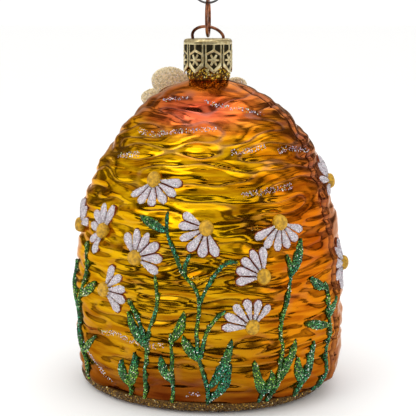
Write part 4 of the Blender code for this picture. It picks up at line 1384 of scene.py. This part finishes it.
# %% Cap metal
# Thin brass-coloured sheet, rubbed by handling: bright lines over nearly black hollows.
cap_metal, tree, shader = new_material("pale gold stamped sheet", Metallic=1.0)
hollow_value = add(tree, "ShaderNodeAttribute", attribute_name="patina")
cap_coords = add(tree, "ShaderNodeTexCoord").outputs["Object"]
rub = add(tree, "ShaderNodeTexNoise", {"Vector": cap_coords, "Scale": 900.0, "Detail": 3.0})
worn = add(
    tree, "ShaderNodeValToRGB", {"Fac": rub.outputs["Fac"]},
    stops=[(0.35, "#C9B27C"), (0.65, "#F2E6B8")]
)
dirt = add(
    tree, "ShaderNodeMath", {0: rub.outputs["Fac"], 1: 0.25, 2: hollow_value.outputs["Fac"]},
    operation="MULTIPLY_ADD"
)
dirt_share = add(
    tree, "ShaderNodeMapRange",
    {"Value": dirt.outputs[0], "From Min": 0.42, "From Max": 0.90, "To Max": 0.96}
)
patinated = add(
    tree, "ShaderNodeMix",
    {0: dirt_share.outputs[0], 6: worn.outputs["Color"], 7: linear("#14120B")}, data_type="RGBA"
)
cap_rough = add(
    tree, "ShaderNodeMapRange", {"Value": dirt_share.outputs[0], "To Min": 0.30, "To Max": 0.65}
)
tree.links.new(patinated.outputs[2], shader.inputs["Base Color"])
tree.links.new(cap_rough.outputs[0], shader.inputs["Roughness"])
dent = add(
    tree, "ShaderNodeBump", {"Height": rub.outputs["Fac"], "Strength": 0.3, "Distance": 0.00015}
)
tree.links.new(dent.outputs[0], shader.inputs["Normal"])

cap = mesh_piece(
    "stamped_cap", np.concatenate(cap_rings), cap_faces, cap_metal, patina=np.concatenate(patina)
)
settle(cap, "cap", "stamped_cap_metal", "hanger_cap")

# %% [markdown]
# ## Wires
# The loop is sprung bronze wire, the ring a length of the same wire closed on itself, and the
# hook thin dark steel. Round wire wants a round section and a path that turns smoothly, so the
# tube is swept with a frame that never twists, and its ends are rounded.

# %% Wire sweeping


def swept(path, radius, sides=18, closed=False):
    """(points, faces) of a round wire along a path, with rounded ends unless it closes."""
    path = np.asarray(path, float)
    ahead = np.roll(path, -1, 0) - np.roll(path, 1, 0) if closed else np.gradient(path, axis=0)
    ahead /= np.linalg.norm(ahead, axis=1, keepdims=True)
    radii = np.full(len(path), radius)
    if not closed:
        caps = np.linspace(0, np.pi / 2, 5)[:-1]
        tail = [path[0] - ahead[0] * radius * math.cos(c) for c in caps]
        nose = [path[-1] + ahead[-1] * radius * math.cos(c) for c in caps[::-1]]
        radii = np.concatenate(
            [
                radius * np.sin(caps) + radius * 0.02, radii,
                radius * np.sin(caps[::-1]) + radius * 0.02
            ]
        )
        ahead = np.concatenate([np.repeat(ahead[:1], 4, 0), ahead, np.repeat(ahead[-1:], 4, 0)])
        path = np.concatenate([tail, path, nose])
    runs_along_y = abs(ahead[:, 1]).max() >= 0.99
    spare = np.array((1.0, 0.0, 0.0) if runs_along_y else (0.0, 1.0, 0.0))
    side = np.cross(ahead, spare)
    side /= np.linalg.norm(side, axis=1, keepdims=True)
    other = np.cross(ahead, side)
    angles = np.linspace(0, 2 * np.pi, sides, endpoint=False)[None, :, None]
    rings = path[:, None] + radii[:, None, None] * (
        np.cos(angles) * side[:, None] + np.sin(angles) * other[:, None]
    )
    points = rings.reshape(-1, 3)
    faces = grid_faces(len(path), sides, wraps=True)
    end = (len(path) - 1) * sides
    if closed:
        faces += [[end + i, end + (i + 1) % sides, (i + 1) % sides, i] for i in range(sides)]
    else:
        faces += [list(range(sides)), list(range(end, end + sides))]
    return points, faces


def arc(middle_z, radius, start, end, steps, stretch=1.0):
    """Points of an arc in the XZ plane; 0 degrees points along +X and 90 up."""
    a = np.radians(np.linspace(start, end, steps))
    return np.stack([radius * np.cos(a), 0 * a, middle_z + stretch * radius * np.sin(a)], -1)


def wire_material(name, hex_light, hex_dark, roughness):
    """Drawn wire with a blotchy brown bloom where fingers have been."""
    made, tree, shader = new_material(name, Metallic=1.0, Roughness=roughness)
    coords = add(tree, "ShaderNodeTexCoord").outputs["Object"]
    bloom = add(tree, "ShaderNodeTexNoise", {"Vector": coords, "Scale": 350.0, "Detail": 3.0})
    colour = add(
        tree, "ShaderNodeValToRGB", {"Fac": bloom.outputs["Fac"]},
        stops=[(0.38, hex_dark), (0.62, hex_light)]
    )
    tree.links.new(colour.outputs["Color"], shader.inputs["Base Color"])
    drawn = add(tree, "ShaderNodeTexNoise", {"Vector": coords, "Scale": 2500.0, "Detail": 1.0})
    lines = add(
        tree, "ShaderNodeBump",
        {"Height": drawn.outputs["Fac"], "Strength": 0.2, "Distance": 0.0001}
    )
    tree.links.new(lines.outputs[0], shader.inputs["Normal"])
    return made


# Bronzed wire is warm and darker where it was handled.
bronze = wire_material("bronzed wire", "#B5785A", "#4E2A1C", 0.28)
# Drawn steel is thin, cool and dark against the white.
steel = wire_material("dark steel wire", "#7C7C80", "#3A3A3E", 0.32)

# %% Loop, ring and hook
LOOP_WIRE = 1.0 * MM
HOOK_WIRE = 0.7 * MM
loop_low, loop_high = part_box("cap_wire_loop")
leg_across = (NECK_RADIUS - NECK_WALL - 0.25 * MM) - LOOP_WIRE / 2
loop_spread = (loop_high.x - loop_low.x) / 2 - LOOP_WIRE / 2
loop_rise = loop_high.z - LOOP_WIRE / 2 - (CAP_TOP + LOOP_WIRE / 2)
loop_arc = arc(CAP_TOP + LOOP_WIRE / 2, loop_spread, 180, 0, 60, loop_rise / loop_spread)
loop_arc[:, 0] -= 0.9 * MM * (
    loop_arc[:, 2] - loop_arc[0, 2]
) / loop_rise  # pulled a little to one side
leg_heights = np.linspace(loop_low.z, NECK_TOP, 12)
left_leg = np.stack([np.full(12, -leg_across), 0 * leg_heights, leg_heights], -1)
right_leg = left_leg[::-1] * np.array((-1, 1, 1))
loop = mesh_piece(
    "sprung_wire_loop", *swept(np.concatenate([left_leg, loop_arc, right_leg]), LOOP_WIRE / 2),
    bronze
)
settle(loop, "cap", "bronzed_wire", "cap_wire_loop")

ring_low, ring_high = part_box("hanger_ring")
ring_radius = (ring_high.z - ring_low.z) / 2 - LOOP_WIRE / 2
ring_middle = (ring_high.z + ring_low.z) / 2
ring_angles = np.linspace(0, 2 * np.pi, 96, endpoint=False)
ring_path = np.stack(
    [
        0 * ring_angles, ring_radius * np.sin(ring_angles),
        ring_middle + ring_radius * np.cos(ring_angles)
    ],
    -1
)
ring = mesh_piece("bronze_ring", *swept(ring_path, LOOP_WIRE / 2, closed=True), bronze)
settle(ring, "ring", "bronzed_wire", "hanger_ring")

hook_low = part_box("tree_hook")[0]
HOOK_LOWER_RADIUS = 5.2 * MM
HOOK_UPPER_RADIUS = 7.2 * MM
lower_middle = hook_low.z + HOOK_WIRE / 2 + HOOK_LOWER_RADIUS
upper_middle = lower_middle + HOOK_LOWER_RADIUS + HOOK_UPPER_RADIUS
hook_path = np.concatenate(
    [
        arc(lower_middle, HOOK_LOWER_RADIUS, 160, 450, 60),
        arc(upper_middle, HOOK_UPPER_RADIUS, 270, 20, 60)[1:]
    ]
)
hook = mesh_piece("steel_hook", *swept(hook_path, HOOK_WIRE / 2, sides=14), steel)
settle(hook, "hook", "dark_steel_wire", "tree_hook")
